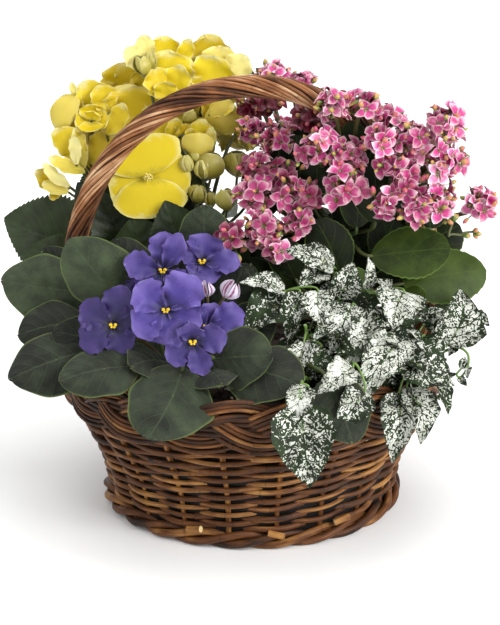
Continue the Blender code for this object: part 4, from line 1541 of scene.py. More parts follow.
# A floret's petals, and a grown bud. A head has this many buds to each open floret.
FLORET_REACH, FLORET_WIDTH = 9.4, 7.6
BUD_LENGTH, BUD_RADIUS = 8.5, 2.2
BUDS_TO_FLORET = 2.6
KALANCHOE_FOOT = (68, 42, 155)
# Where the main stem ends in forks, from its foot.
KALANCHOE_FORKS = [(-22, -16, 44), (4, -22, 52), (36, -12, 44), (10, 20, 48)]

# Each leaf: where its blade starts, its tip, its width and the way it faces.
KALANCHOE_LEAVES = [
    ((90, -34, 204), (149, -42, 212), 44, (0, -0.75, 0.65)),
    ((114, -40, 184), (180, -22, 190), 46, (0.1, -0.8, 0.6)),
    ((68, -24, 184), (48, -22, 230), 36, (0, -1, 0.1)),
    ((92, 104, 160), (120, 152, 150), 62, (0.2, 0.5, 0.85)),
    ((34, -20, 182), (22, -16, 214), 28, (-0.2, -0.9, 0.4)),
    ((96, -10, 196), (112, -4, 232), 30, (0.2, -0.95, 0.3)),
    ((84, 8, 200), (72, 10, 242), 32, (0, -0.95, 0.3)),
    ((50, 2, 196), (38, 6, 236), 30, (-0.1, -0.95, 0.3)),
    ((92, -40, 178), (70, -48, 194), 26, (0, -0.7, 0.7)),
    ((106, -46, 172), (130, -58, 176), 30, (0.1, -0.7, 0.7)),
    ((122, 20, 186), (166, 30, 214), 46, (0.5, -0.5, 0.7)),
    ((118, 62, 168), (166, 88, 174), 52, (0.5, 0.3, 0.8)),
    ((60, 96, 188), (58, 138, 208), 48, (0, 0.8, 0.6)),
    ((24, 88, 166), (14, 138, 158), 50, (-0.1, 0.6, 0.8)),
    ((104, 76, 204), (128, 108, 230), 42, (0.5, 0.6, 0.6)),
    ((46, 60, 216), (36, 84, 254), 38, (-0.1, 0.8, 0.5)),
    ((130, -10, 160), (176, 6, 150), 44, (0.5, -0.5, 0.7)),
    ((20, 26, 170), (2, 24, 216), 46, (-0.1, -1, 0.1)),
    ((44, 24, 172), (40, 22, 226), 50, (0, -1, 0.1)),
    ((66, 22, 168), (74, 22, 228), 50, (0, -1, 0.1)),
    ((90, 14, 160), (104, 14, 208), 48, (0.1, -1, 0.1)),
    ((56, 4, 160), (60, -2, 196), 44, (0, -1, 0.2)),
    ((104, -6, 158), (118, -10, 186), 40, (0.1, -1, 0.2)),
    ((10, -6, 158), (-6, -10, 196), 42, (-0.1, -1, 0.2)),
    ((30, -10, 150), (22, -20, 188), 40, (0, -0.9, 0.3)),
    ((60, 8, 258), (72, 4, 296), 30, (0, -0.95, 0.2)),
    ((96, -6, 256), (88, -10, 298), 30, (0, -0.95, 0.2)),
    ((30, 10, 248), (34, 6, 290), 28, (0, -0.95, 0.2)),
    ((80, -18, 222), (78, -14, 262), 28, (0, -0.95, 0.2)),
    ((88, -16, 240), (94, -12, 278), 26, (0.1, -0.95, 0.2)),
    ((104, 4, 226), (112, 6, 264), 34, (0.1, -0.95, 0.2)),
    ((12, 16, 230), (0, 12, 268), 30, (-0.1, -0.95, 0.2)),
    ((76, -8, 258), (76, -10, 303), 26, (0, -0.95, 0.2)),
    ((26, 8, 244), (25, 8, 281), 30, (0, -0.95, 0.2)),
    ((94, -18, 226), (93, -22, 274), 34, (0, -0.95, 0.2)),
    ((122, -12, 228), (116, -12, 275), 34, (0, -0.95, 0.2)),
    ((128, -14, 246), (132, -16, 288), 30, (0.1, -0.95, 0.2)),
    ((48, -4, 236), (50, -8, 276), 28, (0, -0.95, 0.2)),
    ((10, 2, 226), (8, -2, 260), 30, (0, -0.95, 0.2)),
    ((40, 18, 262), (46, 16, 300), 28, (0, -0.95, 0.2)),
    ((104, -24, 262), (100, -24, 292), 22, (0, -0.95, 0.2)),
    ((136, -20, 222), (140, -22, 250), 26, (0.1, -0.95, 0.2)),
]

# Each head: its centre, its half sizes, the way it faces, its number of open florets and
# how light they are, which is partly painted shade on the heads that lie further back.
KALANCHOE_HEADS = [
    ((16, 60, 329), (17, 13, 7), (0, -0.4, 0.9), 9, 0.8),
    ((37, 46, 323), (11, 10, 6), (0.2, -0.4, 0.9), 4, 0.7),
    ((6, 40, 308), (18, 13, 8), (-0.1, -0.8, 0.4), 9, 0.0),
    ((44, 16, 300), (14, 10, 9), (0, -0.8, 0.5), 7, 0.05),
    ((1, 16, 291), (15, 12, 9), (-0.3, -0.8, 0.5), 6, 0.7),
    ((19, 8, 286), (19, 13, 12), (0, -0.75, 0.6), 8, 0.8),
    ((50, -25, 283), (18, 14, 15), (-0.1, -0.8, 0.6), 10, 1.0),
    ((70, -28, 279), (14, 12, 10), (0.1, -0.8, 0.5), 6, 0.8),
    ((69, -34, 259), (16, 13, 16), (0.1, -0.9, 0.4), 9, 0.9),
    ((60, -30, 316), (13, 12, 12), (-0.2, -0.7, 0.7), 8, 1.0),
    ((81, -28, 316), (15, 12, 8), (0.1, -0.6, 0.8), 7, 0.9),
    ((102, -26, 305), (12, 10, 7), (0.3, -0.6, 0.7), 5, 0.7),
    ((95, -38, 293), (12, 10, 11), (-0.1, -0.9, 0.4), 5, 1.0),
    ((118, -34, 291), (14, 12, 9), (0, -0.8, 0.6), 7, 0.8),
    ((141, -34, 301), (15, 13, 15), (0.4, -0.6, 0.7), 12, 0.9),
    ((107, -36, 275), (16, 12, 8), (0, -0.9, 0.4), 6, 0.7),
    ((139, -40, 278), (16, 13, 15), (0.3, -0.85, 0.4), 10, 1.0),
    ((113, -42, 260), (12, 11, 11), (-0.1, -0.9, 0.4), 6, 0.8),
    ((98, -47, 246), (10, 9, 11), (-0.2, -0.9, 0.3), 4, 1.0),
    ((121, -48, 242), (11, 10, 11), (0, -0.9, 0.3), 5, 0.9),
    ((137, -44, 246), (13, 12, 17), (0.2, -0.9, 0.4), 10, 0.95),
    ((174, -8, 238), (13, 11, 12), (0.3, -0.8, 0.5), 7, 1.0),
    ((2, -16, 248), (14, 12, 13), (-0.3, -0.85, 0.4), 7, 0.6),
    ((36, -20, 246), (18, 13, 15), (0.1, -0.85, 0.4), 10, 0.45),
    ((24, -10, 262), (13, 11, 9), (0, -0.8, 0.5), 5, 0.3),
    ((3, -4, 267), (11, 10, 9), (-0.2, -0.8, 0.5), 5, 0.3),
    ((6, -30, 224), (15, 12, 15), (-0.1, -0.9, 0.3), 9, 0.9),
    ((31, -30, 225), (10, 9, 10), (0.2, -0.9, 0.3), 4, 0.7),
    ((-16, -45, 218), (9, 9, 13), (-0.3, -0.9, 0.3), 5, 0.4),
    ((18, -46, 210), (8, 8, 6), (0, -0.9, 0.2), 3, 0.9),
    ((138, 34, 262), (26, 24, 22), (0.7, 0.3, 0.7), 14, 0.8),
    ((84, 70, 282), (30, 24, 20), (0.1, 0.7, 0.75), 18, 0.8),
    ((34, 94, 270), (26, 20, 20), (-0.1, 0.85, 0.5), 14, 0.8),
    ((118, 78, 248), (24, 20, 20), (0.5, 0.75, 0.4), 12, 0.8),
    ((72, 26, 296), (28, 22, 12), (0, 0.3, 1), 14, 0.7),
    ((120, 10, 284), (20, 18, 12), (0.3, 0.3, 0.9), 10, 0.8),
]

# Bare stalks with a few green buds stick out on the right: where each one starts, its tip.
BARE_STALKS = [
    ((150, -20, 216), (161, -14, 216)),
    ((150, -20, 216), (154, -14, 226)),
    ((161, -14, 216), (170, -12, 218)),
]


def kalanchoe_florets(rng):
    """Open florets at five stages, each with four pointed petals on a short tube, and the
    tube as its own shape."""
    stages = []
    # The petals of each stage lean this many degrees from the tube.
    for opening in (84, 76, 66, 52, 30):
        petals, tube = Shape(), Shape()
        start = rng.uniform(0, 1.5)
        size = (FLORET_REACH, FLORET_WIDTH)
        whorl(petals, FLORET_PETAL, 4, opening, *size, 0, rng, 1.0, start)
        bead(petals, (0, 0, -1.0), (0, 0, 1.6), 0.9, 5, 4, tone=0.0)
        rod(tube, [(0, 0, -8), (0, 0, -6), (0, 0, -2), (0, 0, 0.2)], [1.0, 1.9, 1.5, 1.1], 6)
        for k in range(4):
            angle = k * pi / 2 + 0.7
            outward = np.array((cos(angle), sin(angle), 0))
            base, tip = outward * 1.2 + (0, 0, -6.5), outward * 3.4 + (0, 0, -2.0)
            blade(tube, TUBE_SEPAL, base, tip, 1.8, outward, rng)
        stages.append((petals, tube))
    return stages


def kalanchoe_head(stalks, petals, buds, stages, forks, head, rng):
    """One head of flowers: its stalk and arms, open florets, and buds among them."""
    centre, sizes, facing, florets, light = head
    centre, sizes = np.array(centre, float), np.array(sizes, float)
    out = unit(np.array(facing, float))
    fork = centre - out * sizes
    grow(stalks, nearest(forks, centre), fork, out, (2.3, 1.7), 0.5)
    arms = [fork + d * sizes * 0.4 for d in scatter(rng, 5, out, 70)]
    for arm in arms:
        rod(stalks, arc(fork, arm, arm - fork, 0.8, 5, out), 1.1, 6, tone=0.4)
    for direction in scatter(rng, florets, out, 88):
        stage = stages[min(4, int(rng.exponential(1.5)))]
        face = unit(direction * 0.8 + out * 0.6 + rng.normal(0, 0.42, 3))
        place = centre + direction * sizes * rng.uniform(0.25, 0.95)
        turn = turned_to(face, rng.uniform(0, pi)) * rng.uniform(0.95, 1.15)
        # A floret's tone is its head's lightness, which is partly painted shade, varied at random.
        tone = light * rng.uniform(0.35, 1.2)
        petals.stamp(stage[0], turn, place, tone)
        buds.stamp(stage[1], turn, place, rng.uniform(0.1, 0.7))
        arm = nearest(arms, place)
        rod(stalks, arc(arm, place - face * 7, face, 0.9, 5, place - arm), 0.6, 5, tone=0.4)
    # Buds stand round the open florets, and dark red ones hide among them: withered florets,
    # and painted shade in the gaps between the florets.
    for i, direction in enumerate(scatter(rng, int(florets * BUDS_TO_FLORET), out, 105)):
        direction = unit(direction + rng.normal(0, 0.2, 3))
        withered_shade_bud = i % 2
        reach = rng.uniform(0.1, 0.6) if withered_shade_bud else rng.uniform(0.55, 1.08)
        place = centre + direction * sizes * reach
        size = rng.uniform(0.55, 1.05)
        face = unit(direction + out * 0.5 + rng.normal(0, 0.35, 3))
        # The dark red buds take the petals' deepest tones, as painted shade.
        target, lightest = (petals, 0.3) if withered_shade_bud else (buds, 1)
        tone = rng.uniform(0, lightest)
        end = place + face * BUD_LENGTH * size
        bead(target, place, end, BUD_RADIUS * size, 6, 5, tone, 0.55)
        arm = nearest(arms, place)
        rod(stalks, arc(arm, place, face, 0.9, 4, place - arm), 0.55, 5, tone=0.3)


def waxy_kalanchoe_leaf():
    """Kalanchoe leaves, thick and waxy: deep green with a fresher scalloped margin and veins
    that hardly show."""
    return leaf_material(
        "waxy_kalanchoe_leaf",
        shades=("#12190a", "#25320f", "#3a4a18"),
        vein="#41501f",
        margin="#5d7532",
        under="#4a5a35",
        count=4,
        sweep=0.4,
        width=0.04,
        grain=1.5,
        depth=0.25,
        Roughness=0.5,
        Specular_IOR_Level=0.18,
    )


def kalanchoe_petals():
    """Kalanchoe petals, waxy and bright pink, with pale rims and a yellow-green throat."""
    return petal_material(
        "waxy_kalanchoe_petal",
        throat="#77701f",
        middle="#cb418c",
        rim="#fbe3e6",
        back="#a5385a",
        spots=(0.08, 0.22, 0.62, 1.05),
        deep="#7d2c43",
        margin=(0.66, 0.9),
        Roughness=0.4,
        Subsurface_Weight=0.2,
        Subsurface_Radius=(0.002, 0.0006, 0.001),
    )


def kalanchoe_bud_skin():
    """Unopened kalanchoe buds and the flowers' tubes: waxy, green at the foot and flushed
    with orange and pink toward the tip."""
    look = dict(Subsurface_Weight=0.15, Subsurface_Radius=(0.002, 0.001, 0.0005))
    made, tree, shader = new_material("flushed_kalanchoe_bud", Roughness=0.4, **look)
    at = surface_of(tree)
    # The colour runs the length of a bud, which is about 8 mm.
    share = add(tree, MATH, MULTIPLY, {0: at.along, 1: 1 / (8 * MM)})
    level = vary(tree, share, (at.tone, 0.9))
    stops = [(0.0, "#5c7434"), (0.35, "#a99a50"), (0.65, "#c98a60"), (1.0, "#b9506c")]
    colour = ramp(tree, level, stops)
    ribs = add(tree, NOISE, None, {"Vector": in_place(tree), "Scale": 700.0})
    finish_material(tree, shader, colour, ribs, 0.2, 0.2)
    return made


class BASKET_OT_plant_kalanchoe(bpy.types.Operator):
    """Plant the kalanchoe: waxy scalloped leaves under heads of small pink flowers"""

    bl_idname = "basket.plant_kalanchoe"
    bl_label = "Kalanchoe"

    def execute(self, context):
        rng = np.random.default_rng(19)
        leaves, stalks, petals, buds = (Shape() for _ in range(4))
        foot = np.array(KALANCHOE_FOOT, float)
        core = [foot + (0, 0, rise) for rise in (-44, -20, 0, 8)]
        rod(stalks, core, [10, 9, 7, 3], 12)
        forks = [foot + step for step in KALANCHOE_FORKS]
        for fork in forks:
            grow(stalks, foot - (0, 0, 6), fork, (0, -0.2, 1), (4.2, 3.0), 0.2, 0.6, 9, 8)
        for row in KALANCHOE_LEAVES:
            root = leaf_root(row[0], foot, forks, 14)
            # The leaves that stand among and behind the flowers are the darkest, as painted shade,
            # and those at the front by the rim are lighter.
            tone = rng.uniform(0.5, 0.9) if row[0][1] < -30 else rng.uniform(0.0, 0.25)
            leaf(leaves, stalks, KALANCHOE_LEAF, root, *row, rng, 1.7, tone)
        stages = kalanchoe_florets(rng)
        for head in KALANCHOE_HEADS:
            kalanchoe_head(stalks, petals, buds, stages, forks, head, rng)
        for start, tip in BARE_STALKS:
            start, tip = np.array(start, float), np.array(tip, float)
            rod(stalks, arc(start, tip, tip - start, 0.8, 6), 1.0, 6, tone=0.3)
            for _ in range(3):
                face = unit(tip - start + rng.normal(0, 5, 3))
                bead(buds, tip, tip + face * 7.5, 2.0, 7, 6, rng.uniform(0, 0.5), 0.55)
        leaf_nodes = numbered("kalanchoe_leaf", 4)
        head_nodes = numbered("kalanchoe_flowers", 9)
        leaves.build("kalanchoe_foliage", waxy_kalanchoe_leaf(), "kalanchoe_leaf", leaf_nodes)
        petals.build("kalanchoe_florets", kalanchoe_petals(), "kalanchoe_petal", head_nodes)
        buds.build("kalanchoe_buds", kalanchoe_bud_skin(), "kalanchoe_petal")
        stalks.build("kalanchoe_stalks", green_stems(), "plant_stem", ["kalanchoe_stem"])
        return {"FINISHED"}


# ---- Polka dot plant -----------------------------------------------------------------

POLKA_LEAF = Form(
    peak=0.55,
    blunt=0.78,
    across=12,
    along=18,
    thick=0.6,
    arch=0.18,
    fold=0.26,
    ripple=0.13,
    waves=2.4,
    veins=5,
    quilt=1.3,
    twist=0.8,
    bend=0.1,
    frill=0.04,
)

# The leaves underneath are plainer.
POLKA_FILLER = replace(POLKA_LEAF, across=8, along=14)

# Each stem: its foot on the soil, a point half way and its tip.
POLKA_STEMS = [
    ((50, -50, 112), (56, -52, 150), (62, -50, 196)),
    ((34, -64, 112), (28, -68, 150), (24, -72, 186)),
    ((58, -68, 112), (72, -80, 140), (84, -90, 166)),
    ((72, -56, 112), (94, -62, 150), (104, -64, 186)),
    ((84, -44, 112), (122, -52, 140), (152, -52, 142)),
    ((70, -76, 112), (92, -96, 142), (116, -108, 134)),
    ((46, -80, 112), (38, -118, 142), (34, -148, 140)),
    ((62, -74, 112), (70, -104, 146), (72, -126, 148)),
    ((90, -50, 112), (112, -70, 146), (126, -84, 148)),
    ((44, -70, 112), (42, -92, 150), (38, -104, 170)),
]

# Each leaf: where it starts, its tip, its width, the way it faces and how white it is, which is
# partly the leaf's own blotching and partly painted shade, as shaded leaves are made greener.
POLKA_LEAVES = [
    ((61, -58, 201), (24, -62, 215), 21, (-0.1, -0.7, 0.7), 0.7),
    ((56, -64, 199), (34, -74, 190), 18, (0, -0.8, 0.6), 0.8),
    ((65, -68, 180), (74, -60, 206), 22, (0.1, -1, 0.2), 0.6),
    ((85, -66, 186), (86, -62, 210), 12, (0.6, -0.8, 0.1), 0.9),
    ((103, -66, 187), (91, -72, 196), 11, (0, -0.8, 0.6), 0.7),
    ((111, -78, 188), (102, -96, 165), 34, (0.1, -0.85, 0.5), 0.95),
    ((146, -62, 141), (156, -52, 183), 36, (0.1, -1, 0.25), 0.65),
    ((166, -50, 162), (178, -58, 156), 11, (0.3, -0.8, 0.5), 0.5),
    ((24, -78, 188), (-9, -84, 196), 16, (0, -0.7, 0.7), 0.75),
    ((27, -76, 179), (-6, -92, 158), 30, (-0.2, -0.8, 0.5), 0.15),
    ((35, -82, 189), (27, -98, 152), 19, (-0.4, -0.9, 0.2), 0.35),
    ((48, -82, 190), (51, -98, 166), 22, (0, -0.8, 0.5), 0.9),
    ((73, -84, 180), (57, -104, 148), 28, (-0.1, -0.85, 0.5), 0.75),
    ((90, -92, 169), (68, -116, 139), 23, (0.1, -0.85, 0.5), 1.0),
    ((98, -84, 172), (74, -100, 163), 19, (0, -0.7, 0.7), 0.6),
    ((87, -108, 163), (95, -120, 143), 13, (0.5, -0.8, 0.2), 0.95),
    ((119, -86, 157), (100, -98, 150), 16, (0, -0.6, 0.8), 0.7),
    ((110, -100, 160), (75, -130, 120), 30, (-0.1, -0.8, 0.6), 0.9),
    ((111, -102, 146), (146, -108, 126), 34, (0.2, -0.75, 0.6), 0.3),
    ((106, -112, 122), (100, -134, 77), 25, (-0.2, -0.9, 0.3), 0.7),
    ((112, -108, 124), (121, -124, 87), 24, (0.3, -0.9, 0.4), 0.95),
    ((32, -158, 129), (39, -173, 74), 40, (0, -1, 0.2), 0.45),
    ((39, -150, 139), (28, -166, 117), 18, (-0.2, -0.85, 0.4), 1.0),
    ((37, -112, 160), (27, -130, 130), 17, (-0.4, -0.85, 0.3), 0.85),
    ((50, -104, 154), (38, -120, 136), 17, (0.2, -0.8, 0.5), 0.2),
    ((71, -128, 146), (46, -146, 132), 22, (0, -0.8, 0.6), 1.0),
    ((79, -136, 131), (57, -152, 109), 23, (0, -0.85, 0.5), 0.55),
    ((139, -84, 122), (145, -92, 98), 12, (0.5, -0.8, 0.3), 0.2),
    ((128, -70, 152), (141, -84, 133), 15, (0.3, -0.8, 0.5), 0.15),
    ((128, -64, 158), (144, -70, 172), 17, (0.1, -0.8, 0.6), 0.4),
]

# Each young shoot: the places it passes through as it curls over the rim on the right.
CURLS = [
    [(138, -56, 132), (147, -56, 136), (155, -60, 141), (163, -64, 136), (162, -68, 126)],
    [(138, -56, 132), (145, -62, 128), (146, -70, 122), (142, -80, 116), (138, -88, 109)],
]
CURLS[0] += [(156, -70, 118), (152, -72, 122), (156, -73, 127)]

# Small leaves start over the soil and inside the basket, and their tips pass over the rim,
# which lies between two radii.
SOIL_TOP, INSIDE = 118, 150
RIM_TOP, RIM_RADII = 130, (128, 156)


def polka_dot_skin():
    """Polka dot plant leaves: thin, matt and slightly puckered, with milk-white blotches in a
    dark green net that follows the veins."""
    look = dict(Roughness=0.55, Specular_IOR_Level=0.2)
    made, tree, shader = new_material("blotched_polka_dot_leaf", **look)
    at = surface_of(tree)
    place = in_place(tree)
    veins, edge = vein_lines(tree, at, 6, 0.35, 0.12)
    # A noise's middle level makes winding green lines about 3 mm apart. They are thin on the
    # whitest leaves, and run together on the greenest, which leaves only blotches of white.
    winding = {"Vector": place, "Scale": 250.0, "Detail": 1.8, "Roughness": 0.5, "Distortion": 1.3}
    cloud = add(tree, NOISE, None, winding)
    level = add(tree, MATH, LESS, {0: cloud, 1: 0.5})
    off_line = add(tree, MATH, ABSOLUTE, {0: level})
    greener = add(tree, NOISE, None, {"Vector": place, "Scale": 75.0, "Detail": 1.0})
    patchy = add(tree, MATH, MULTIPLY_ADD, {0: greener, 1: 0.14, 2: 0.054})
    least = add(tree, MATH, MULTIPLY_ADD, {0: at.tone, 1: -0.09, 2: patchy})
    near = add(tree, MATH, MULTIPLY_ADD, {0: veins, 1: 0.14, 2: least})
    margin = ramp(tree, edge, [(0.7, 0.0), (1.0, 0.06)])
    line = add(tree, MATH, SUM, {0: near, 1: margin})
    inside = add(tree, MATH, LESS, {0: off_line, 1: line})
    sharp = {0: inside, 1: 60.0, 2: 0.5}
    white = add(tree, MATH, {"operation": "MULTIPLY_ADD", "use_clamp": True}, sharp)
    tint = add(tree, NOISE, None, {"Vector": place, "Scale": 90.0})
    greens = ramp(tree, tint, [(0.35, "#0d1706"), (0.65, "#26361a")])
    whites = ramp(tree, tint, [(0.35, "#9fa496"), (0.6, "#d2d4cb")])
    face = blend(tree, white, greens, whites)
    faint = add(tree, MATH, MULTIPLY, {0: white, 1: 0.5})
    underside = blend(tree, faint, "#46552f", "#8f9a76")
    relief = add(tree, MATH, MULTIPLY_ADD, {0: veins, 1: -1.0, 2: white})
    finish_material(tree, shader, blend(tree, at.under, face, underside), relief, 0.35, 0.3)
    return made


def node_for(nodes, base):
    """The place on the stems where a leaf's stalk starts, near its base and not above it."""
    above = np.maximum(nodes[:, 2] - base[2], 0)
    return nodes[np.argmin(np.linalg.norm(nodes - base, axis=1) + 0.4 * above)]


def fill_under(leaves, stalks, nodes, rng):
    """Smaller leaves fill the plant under and behind the ones on top."""
    middle, half = np.array((78, -78, 142)), np.array((66, 46, 44))
    for direction in scatter(rng, 100, (0.1, -0.35, 0.9), 125):
        base = middle + direction * half * rng.uniform(0.35, 0.75)
        if base[2] < SOIL_TOP or np.hypot(base[0], base[1]) > INSIDE:
            continue
        fall = np.array((0, 0, -0.35 - 0.5 * rng.random()))
        heading = unit(direction * (1, 1, 0.3) + fall + rng.normal(0, 0.35, 3))
        tip = base + heading * rng.uniform(20, 31)
        if tip[2] < RIM_TOP and RIM_RADII[0] < np.hypot(tip[0], tip[1]) < RIM_RADII[1]:
            tip[2] = RIM_TOP + 2
        # The leaves underneath are less white than those on top, partly as painted shade under
        # them.
        width, tone = rng.uniform(14, 21), rng.uniform(-0.5, 0.5)
        face = unit(direction + (0, -0.2, 0.5))
        root = node_for(nodes, base)
        leaf(leaves, stalks, POLKA_FILLER, root, base, tip, width, face, rng, 0.8, tone)


def curl_shoot(leaves, stalks, places, rng):
    """A thin young shoot along smoothed places, with four small leaves."""
    t, fine = np.linspace(0, 1, len(places)), np.linspace(0, 1, 30)
    path = np.stack([np.interp(fine, t, [p[k] for p in places]) for k in range(3)], -1)
    for _ in range(3):
        path[1:-1] = (path[:-2] + path[1:-1] * 2 + path[2:]) / 4
    rod(stalks, path, np.linspace(1.3, 0.8, 30), 6, tone=0.1)
    for k in (8, 16, 22, 29):
        tip = path[k] + unit(rng.normal(0, 1, 3) + (0.3, -0.6, -0.1)) * rng.uniform(7, 11)
        blade(leaves, POLKA_FILLER, path[k], tip, 6.5, (0, -0.8, 0.6), rng, 0.5)


class BASKET_OT_plant_polka_dot(bpy.types.Operator):
    """Plant the polka dot plant: branching stems with pairs of white-blotched leaves"""

    bl_idname = "basket.plant_polka_dot"
    bl_label = "Polka dot plant"

    def execute(self, context):
        rng = np.random.default_rng(31)
        leaves, stalks = Shape(), Shape()
        nodes = []
        for foot, middle, tip in POLKA_STEMS:
            t = np.linspace(0, 1, 14)[:, None]
            foot, middle, tip = (np.array(p, float) for p in (foot, middle, tip))
            path = foot * (1 - t) ** 2 + middle * 2 * t * (1 - t) + tip * t**2
            rod(stalks, path, np.linspace(2.1, 1.2, len(path)), 7, tone=rng.uniform(0, 0.3))
            nodes.extend(path[4:])
        nodes = np.array(nodes)
        for base, tip, width, facing, tone in POLKA_LEAVES:
            root = node_for(nodes, base)
            leaf(leaves, stalks, POLKA_LEAF, root, base, tip, width * 1.1, facing, rng, 0.9, tone)
        fill_under(leaves, stalks, nodes, rng)
        for places in CURLS:
            curl_shoot(leaves, stalks, places, rng)
        shoot_nodes = numbered("polka_dot_shoot", 7)
        leaves.build("polka_dot_foliage", polka_dot_skin(), "polka_dot_leaf", shoot_nodes)
        young = stem_material("thin_green_shoot", "#6d8a44", "#4c6632")
        stalks.build("polka_dot_stems", young, "plant_stem")
        return {"FINISHED"}


# ---- Soil and liner ------------------------------------------------------------------


# Share of the crumbs that are white perlite.
PERLITE = 0.12


def heap_soil(soil, rng):
    """The compost's rough crust, and its sides down to the liner's floor."""
    low, high = size_of("potting_soil")
    rings, spokes, clear = 40, 120, 0.4
    radii = np.linspace(0.8, high[0] - clear, rings)[:, None]
    angles = np.linspace(0, 2 * pi, spokes, endpoint=False)
    rough = rng.normal(0, 0.55, (rings, spokes))
    heaps = 1.1 * np.sin(radii / 9 + 3 * angles) * np.sin(2 * angles + radii / 21)
    heights = high[2] - 2.2 + rough + heaps
    heights[-1] = high[2] - 3
    crust = ring_points(angles, radii, heights).reshape(-1, 3)
    # The sides follow the liner.
    levels, reaches = outline_of("potting_soil")
    down = np.linspace(high[2] - 6, low[2] + 1, 6)
    around = np.interp(down, levels, reaches)[:, None] - clear
    sides = ring_points(angles, around, down[:, None] + 0 * angles).reshape(-1, 3)
    rows = rings + len(down)
    i, j = np.meshgrid(np.arange(rows - 1), np.arange(spokes), indexing="ij")
    here, beside = (i * spokes + j).ravel(), (i * spokes + (j + 1) % spokes).ravel()
    quads = np.stack([here, here + spokes, beside + spokes, beside], 1)
    soil.add(np.concatenate([crust, sides]), quads, np.zeros((len(quads), 4, 2)))
    soil.cap(range(rows * spokes - 1, (rows - 1) * spokes - 1, -1))
    soil.cap(range(spokes))


def peaty_compost():
    """Peat compost with perlite: matt, crumbly, dark brown with a few white grains."""
    made, tree, shader = new_material("peaty_potting_compost", Roughness=0.95)
    at = surface_of(tree)
    lumps = {"Vector": in_place(tree), "Scale": 420.0, "Detail": 5.0}
    crumbs = add(tree, NOISE, None, lumps)
    earth = ramp(tree, crumbs, [(0.3, "#1c130d"), (0.7, "#4a3627")])
    is_white = add(tree, MATH, {"operation": "GREATER_THAN"}, {0: at.tone, 1: 0.9})
    finish_material(tree, shader, blend(tree, is_white, earth, "#d9d6cc"), crumbs, 0.8, 1.5)
    return made


def polythene_film():
    """Black polythene film, blown thin: soft creases and a dull gloss."""
    look = dict(Roughness=0.6, Specular_IOR_Level=0.2)
    made, tree, shader = new_material("black_polythene_film", **look)
    creases = add(tree, NOISE, None, {"Vector": in_place(tree), "Scale": 60.0, "Detail": 3.0})
    shade = ramp(tree, creases, [(0.3, "#0b0a09"), (0.7, "#171412")])
    finish_material(tree, shader, shade, creases, 0.5, 1.5)
    return made


class BASKET_OT_fill_soil(bpy.types.Operator):
    """Fill the liner with potting compost, and finish the liner itself"""

    bl_idname = "basket.fill_soil"
    bl_label = "Compost and liner"

    def execute(self, context):
        rng = np.random.default_rng(13)
        high = size_of("potting_soil")[1]
        soil = Shape()
        heap_soil(soil, rng)
        # Crumbs of bark and perlite lie on the surface.
        for _ in range(420):
            reach, angle = (high[0] - 8) * rng.random() ** 0.5, rng.uniform(0, 2 * pi)
            place = np.array((reach * sin(angle), -reach * cos(angle), high[2] - 1.2))
            size = rng.uniform(1.2, 2.8)
            toward = unit(rng.normal(0, 1, 3) * (1, 1, 0.4)) * size
            white = float(rng.random() < PERLITE)
            bead(soil, place - toward, place + toward, size * 0.7, 5, 5, white)
        soil.build("potting_compost", peaty_compost(), "potting_soil", ["potting_soil"])
        film = polythene_film()
        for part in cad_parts["liner"].material_slots:
            part.material = film
        return {"FINISHED"}


# ---- The stage -----------------------------------------------------------------------


# Each softbox: its place and size in metres, and its power in watts.
SOFTBOXES = {
    "key_softbox": ((1.3, -1.15, 1.0), 1.1, 40),
    "fill_softbox": ((-1.0, -1.2, 1.6), 1.5, 13),
    "top_softbox": ((0.1, 0.4, 2.0), 1.5, 20),
    "back_softbox": ((-0.6, 1.7, 0.9), 1.2, 8),
}


def glowing_white_floor(stage):
    """Matt white paint on the floor's sweep, with a painted glow that grows away from the basket,
    so that only the soft shadows show.
    """
    look = dict(Roughness=0.9, Specular_IOR_Level=0.1)
    made, tree, shader = new_material("glowing_matt_white_floor", **look)
    grain = add(tree, NOISE, None, {"Scale": 3.0, "Detail": 2.0})
    lighter = tuple(min(1.0, c * 1.02) for c in stage.floor)
    near_white = ramp(tree, grain, [(0.0, stage.floor), (1.0, lighter)])
    tree.links.new(near_white, shader.inputs["Base Color"])
    # The floor glows more with distance from the basket: painted light that whitens the far floor
    # and lifts its shadows.
    place = add(tree, "ShaderNodeTexCoord", out="Object")
    away = add(tree, "ShaderNodeVectorMath", {"operation": "LENGTH"}, {0: place}, "Value")
    reach = {"Value": away, "From Min": 0.0, "From Max": 2.4}
    share = add(tree, "ShaderNodeMapRange", None, reach)
    painted_glow = add(tree, MATH, MULTIPLY, {0: share, 1: 0.8})
    shader.inputs["Emission Color"].default_value = (1.0, 1.0, 1.0, 1.0)
    tree.links.new(painted_glow, shader.inputs["Emission Strength"])
    return made


def soft_sky():
    """A white studio's light from all round, a little softer overhead."""
    world = bpy.data.worlds.new("soft_white_studio")
    world.use_nodes = True
    tree = world.node_tree
    look = add(tree, "ShaderNodeTexCoord", out="Generated")
    height = add(tree, "ShaderNodeSeparateXYZ", None, {"Vector": look}, "Z")
    shade = ramp(tree, height, [(0.0, 0.5), (0.6, 0.42)])
    tree.links.new(shade, tree.nodes["Background"].inputs["Color"])
    return world


def point(scene, name, data, place, target):
    """Puts a lamp or a camera in the scene, turned to look at a target."""
    made = bpy.data.objects.new(name, data)
    made.location = place
    made.rotation_euler = (target - made.location).to_track_quat("-Z", "Y").to_euler()
    scene.collection.objects.link(made)
    return made


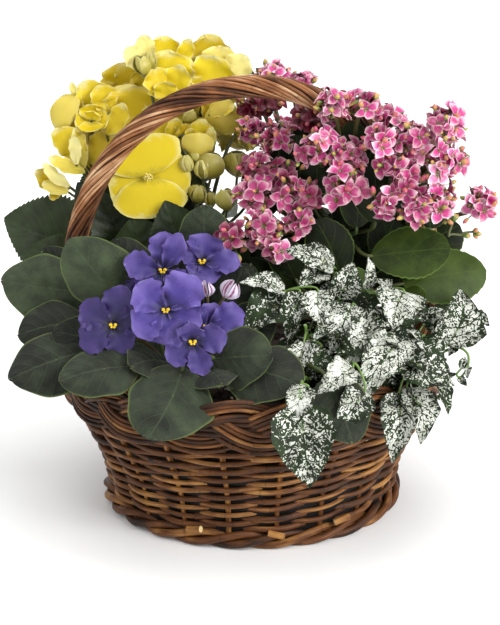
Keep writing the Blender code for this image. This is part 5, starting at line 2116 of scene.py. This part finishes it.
class BASKET_OT_set_stage(bpy.types.Operator):
    """Set the stage: a pale floor, soft light and the camera"""

    bl_idname = "basket.set_stage"
    bl_label = "Set the stage"

    def execute(self, context):
        scene = context.scene
        stage = scene.stage
        paint = glowing_white_floor(stage)
        bpy.ops.mesh.primitive_plane_add(size=40)
        floor = context.active_object
        floor.name = "studio_floor"
        floor.data.materials.append(paint)
        scene.world = soft_sky()
        for name, (place, side, power) in SOFTBOXES.items():
            lamp = bpy.data.lights.new(name, "AREA")
            lamp.size = side
            lamp.energy = power
            point(scene, name, lamp, place, Vector((0, 0, 0.17)))
        camera = bpy.data.cameras.new("camera")
        camera.lens = stage.lens
        camera.sensor_width = 36.0
        place = (stage.aside, -stage.distance, stage.height)
        scene.camera = point(scene, "camera", camera, place, Vector((stage.aside, 0, stage.aim)))
        scene.view_settings.view_transform = "Standard"
        return {"FINISHED"}


# ---- Panel and registration ----------------------------------------------------------

OPERATORS = [
    BASKET_OT_weave_base,
    BASKET_OT_lay_foot,
    BASKET_OT_weave_side,
    BASKET_OT_plait_rim,
    BASKET_OT_twist_handle,
    BASKET_OT_fill_soil,
    BASKET_OT_plant_violet,
    BASKET_OT_plant_begonia,
    BASKET_OT_plant_kalanchoe,
    BASKET_OT_plant_polka_dot,
    BASKET_OT_set_stage,
]

SETTINGS = {"basket": BasketSettings, "stage": StageSettings}


class BASKET_PT_make(bpy.types.Panel):
    """Lists the pieces of the arrangement in the order they are made"""

    bl_idname = "BASKET_PT_make"
    bl_label = "Flower basket"
    bl_space_type = "VIEW_3D"
    bl_region_type = "UI"
    bl_category = SIDEBAR

    def draw(self, context):
        for kind in OPERATORS:
            self.layout.operator(kind.bl_idname)
        for name, group in SETTINGS.items():
            box = self.layout.box()
            box.label(text=name.replace("_", " ").capitalize())
            for key in group.__annotations__:
                box.prop(getattr(context.scene, name), key)


def register():
    for group in SETTINGS.values():
        bpy.utils.register_class(group)
    for kind in OPERATORS:
        bpy.utils.register_class(kind)
    bpy.utils.register_class(BASKET_PT_make)
    for name, group in SETTINGS.items():
        setattr(bpy.types.Scene, name, PointerProperty(type=group))


def unregister():
    for name in SETTINGS:
        delattr(bpy.types.Scene, name)
    bpy.utils.unregister_class(BASKET_PT_make)
    for kind in reversed(OPERATORS):
        bpy.utils.unregister_class(kind)
    for group in reversed(list(SETTINGS.values())):
        bpy.utils.unregister_class(group)


def main():
    register()
    for kind in OPERATORS:
        group, action = kind.bl_idname.split(".")
        getattr(getattr(bpy.ops, group), action)()


if __name__ == "__main__":
    main()
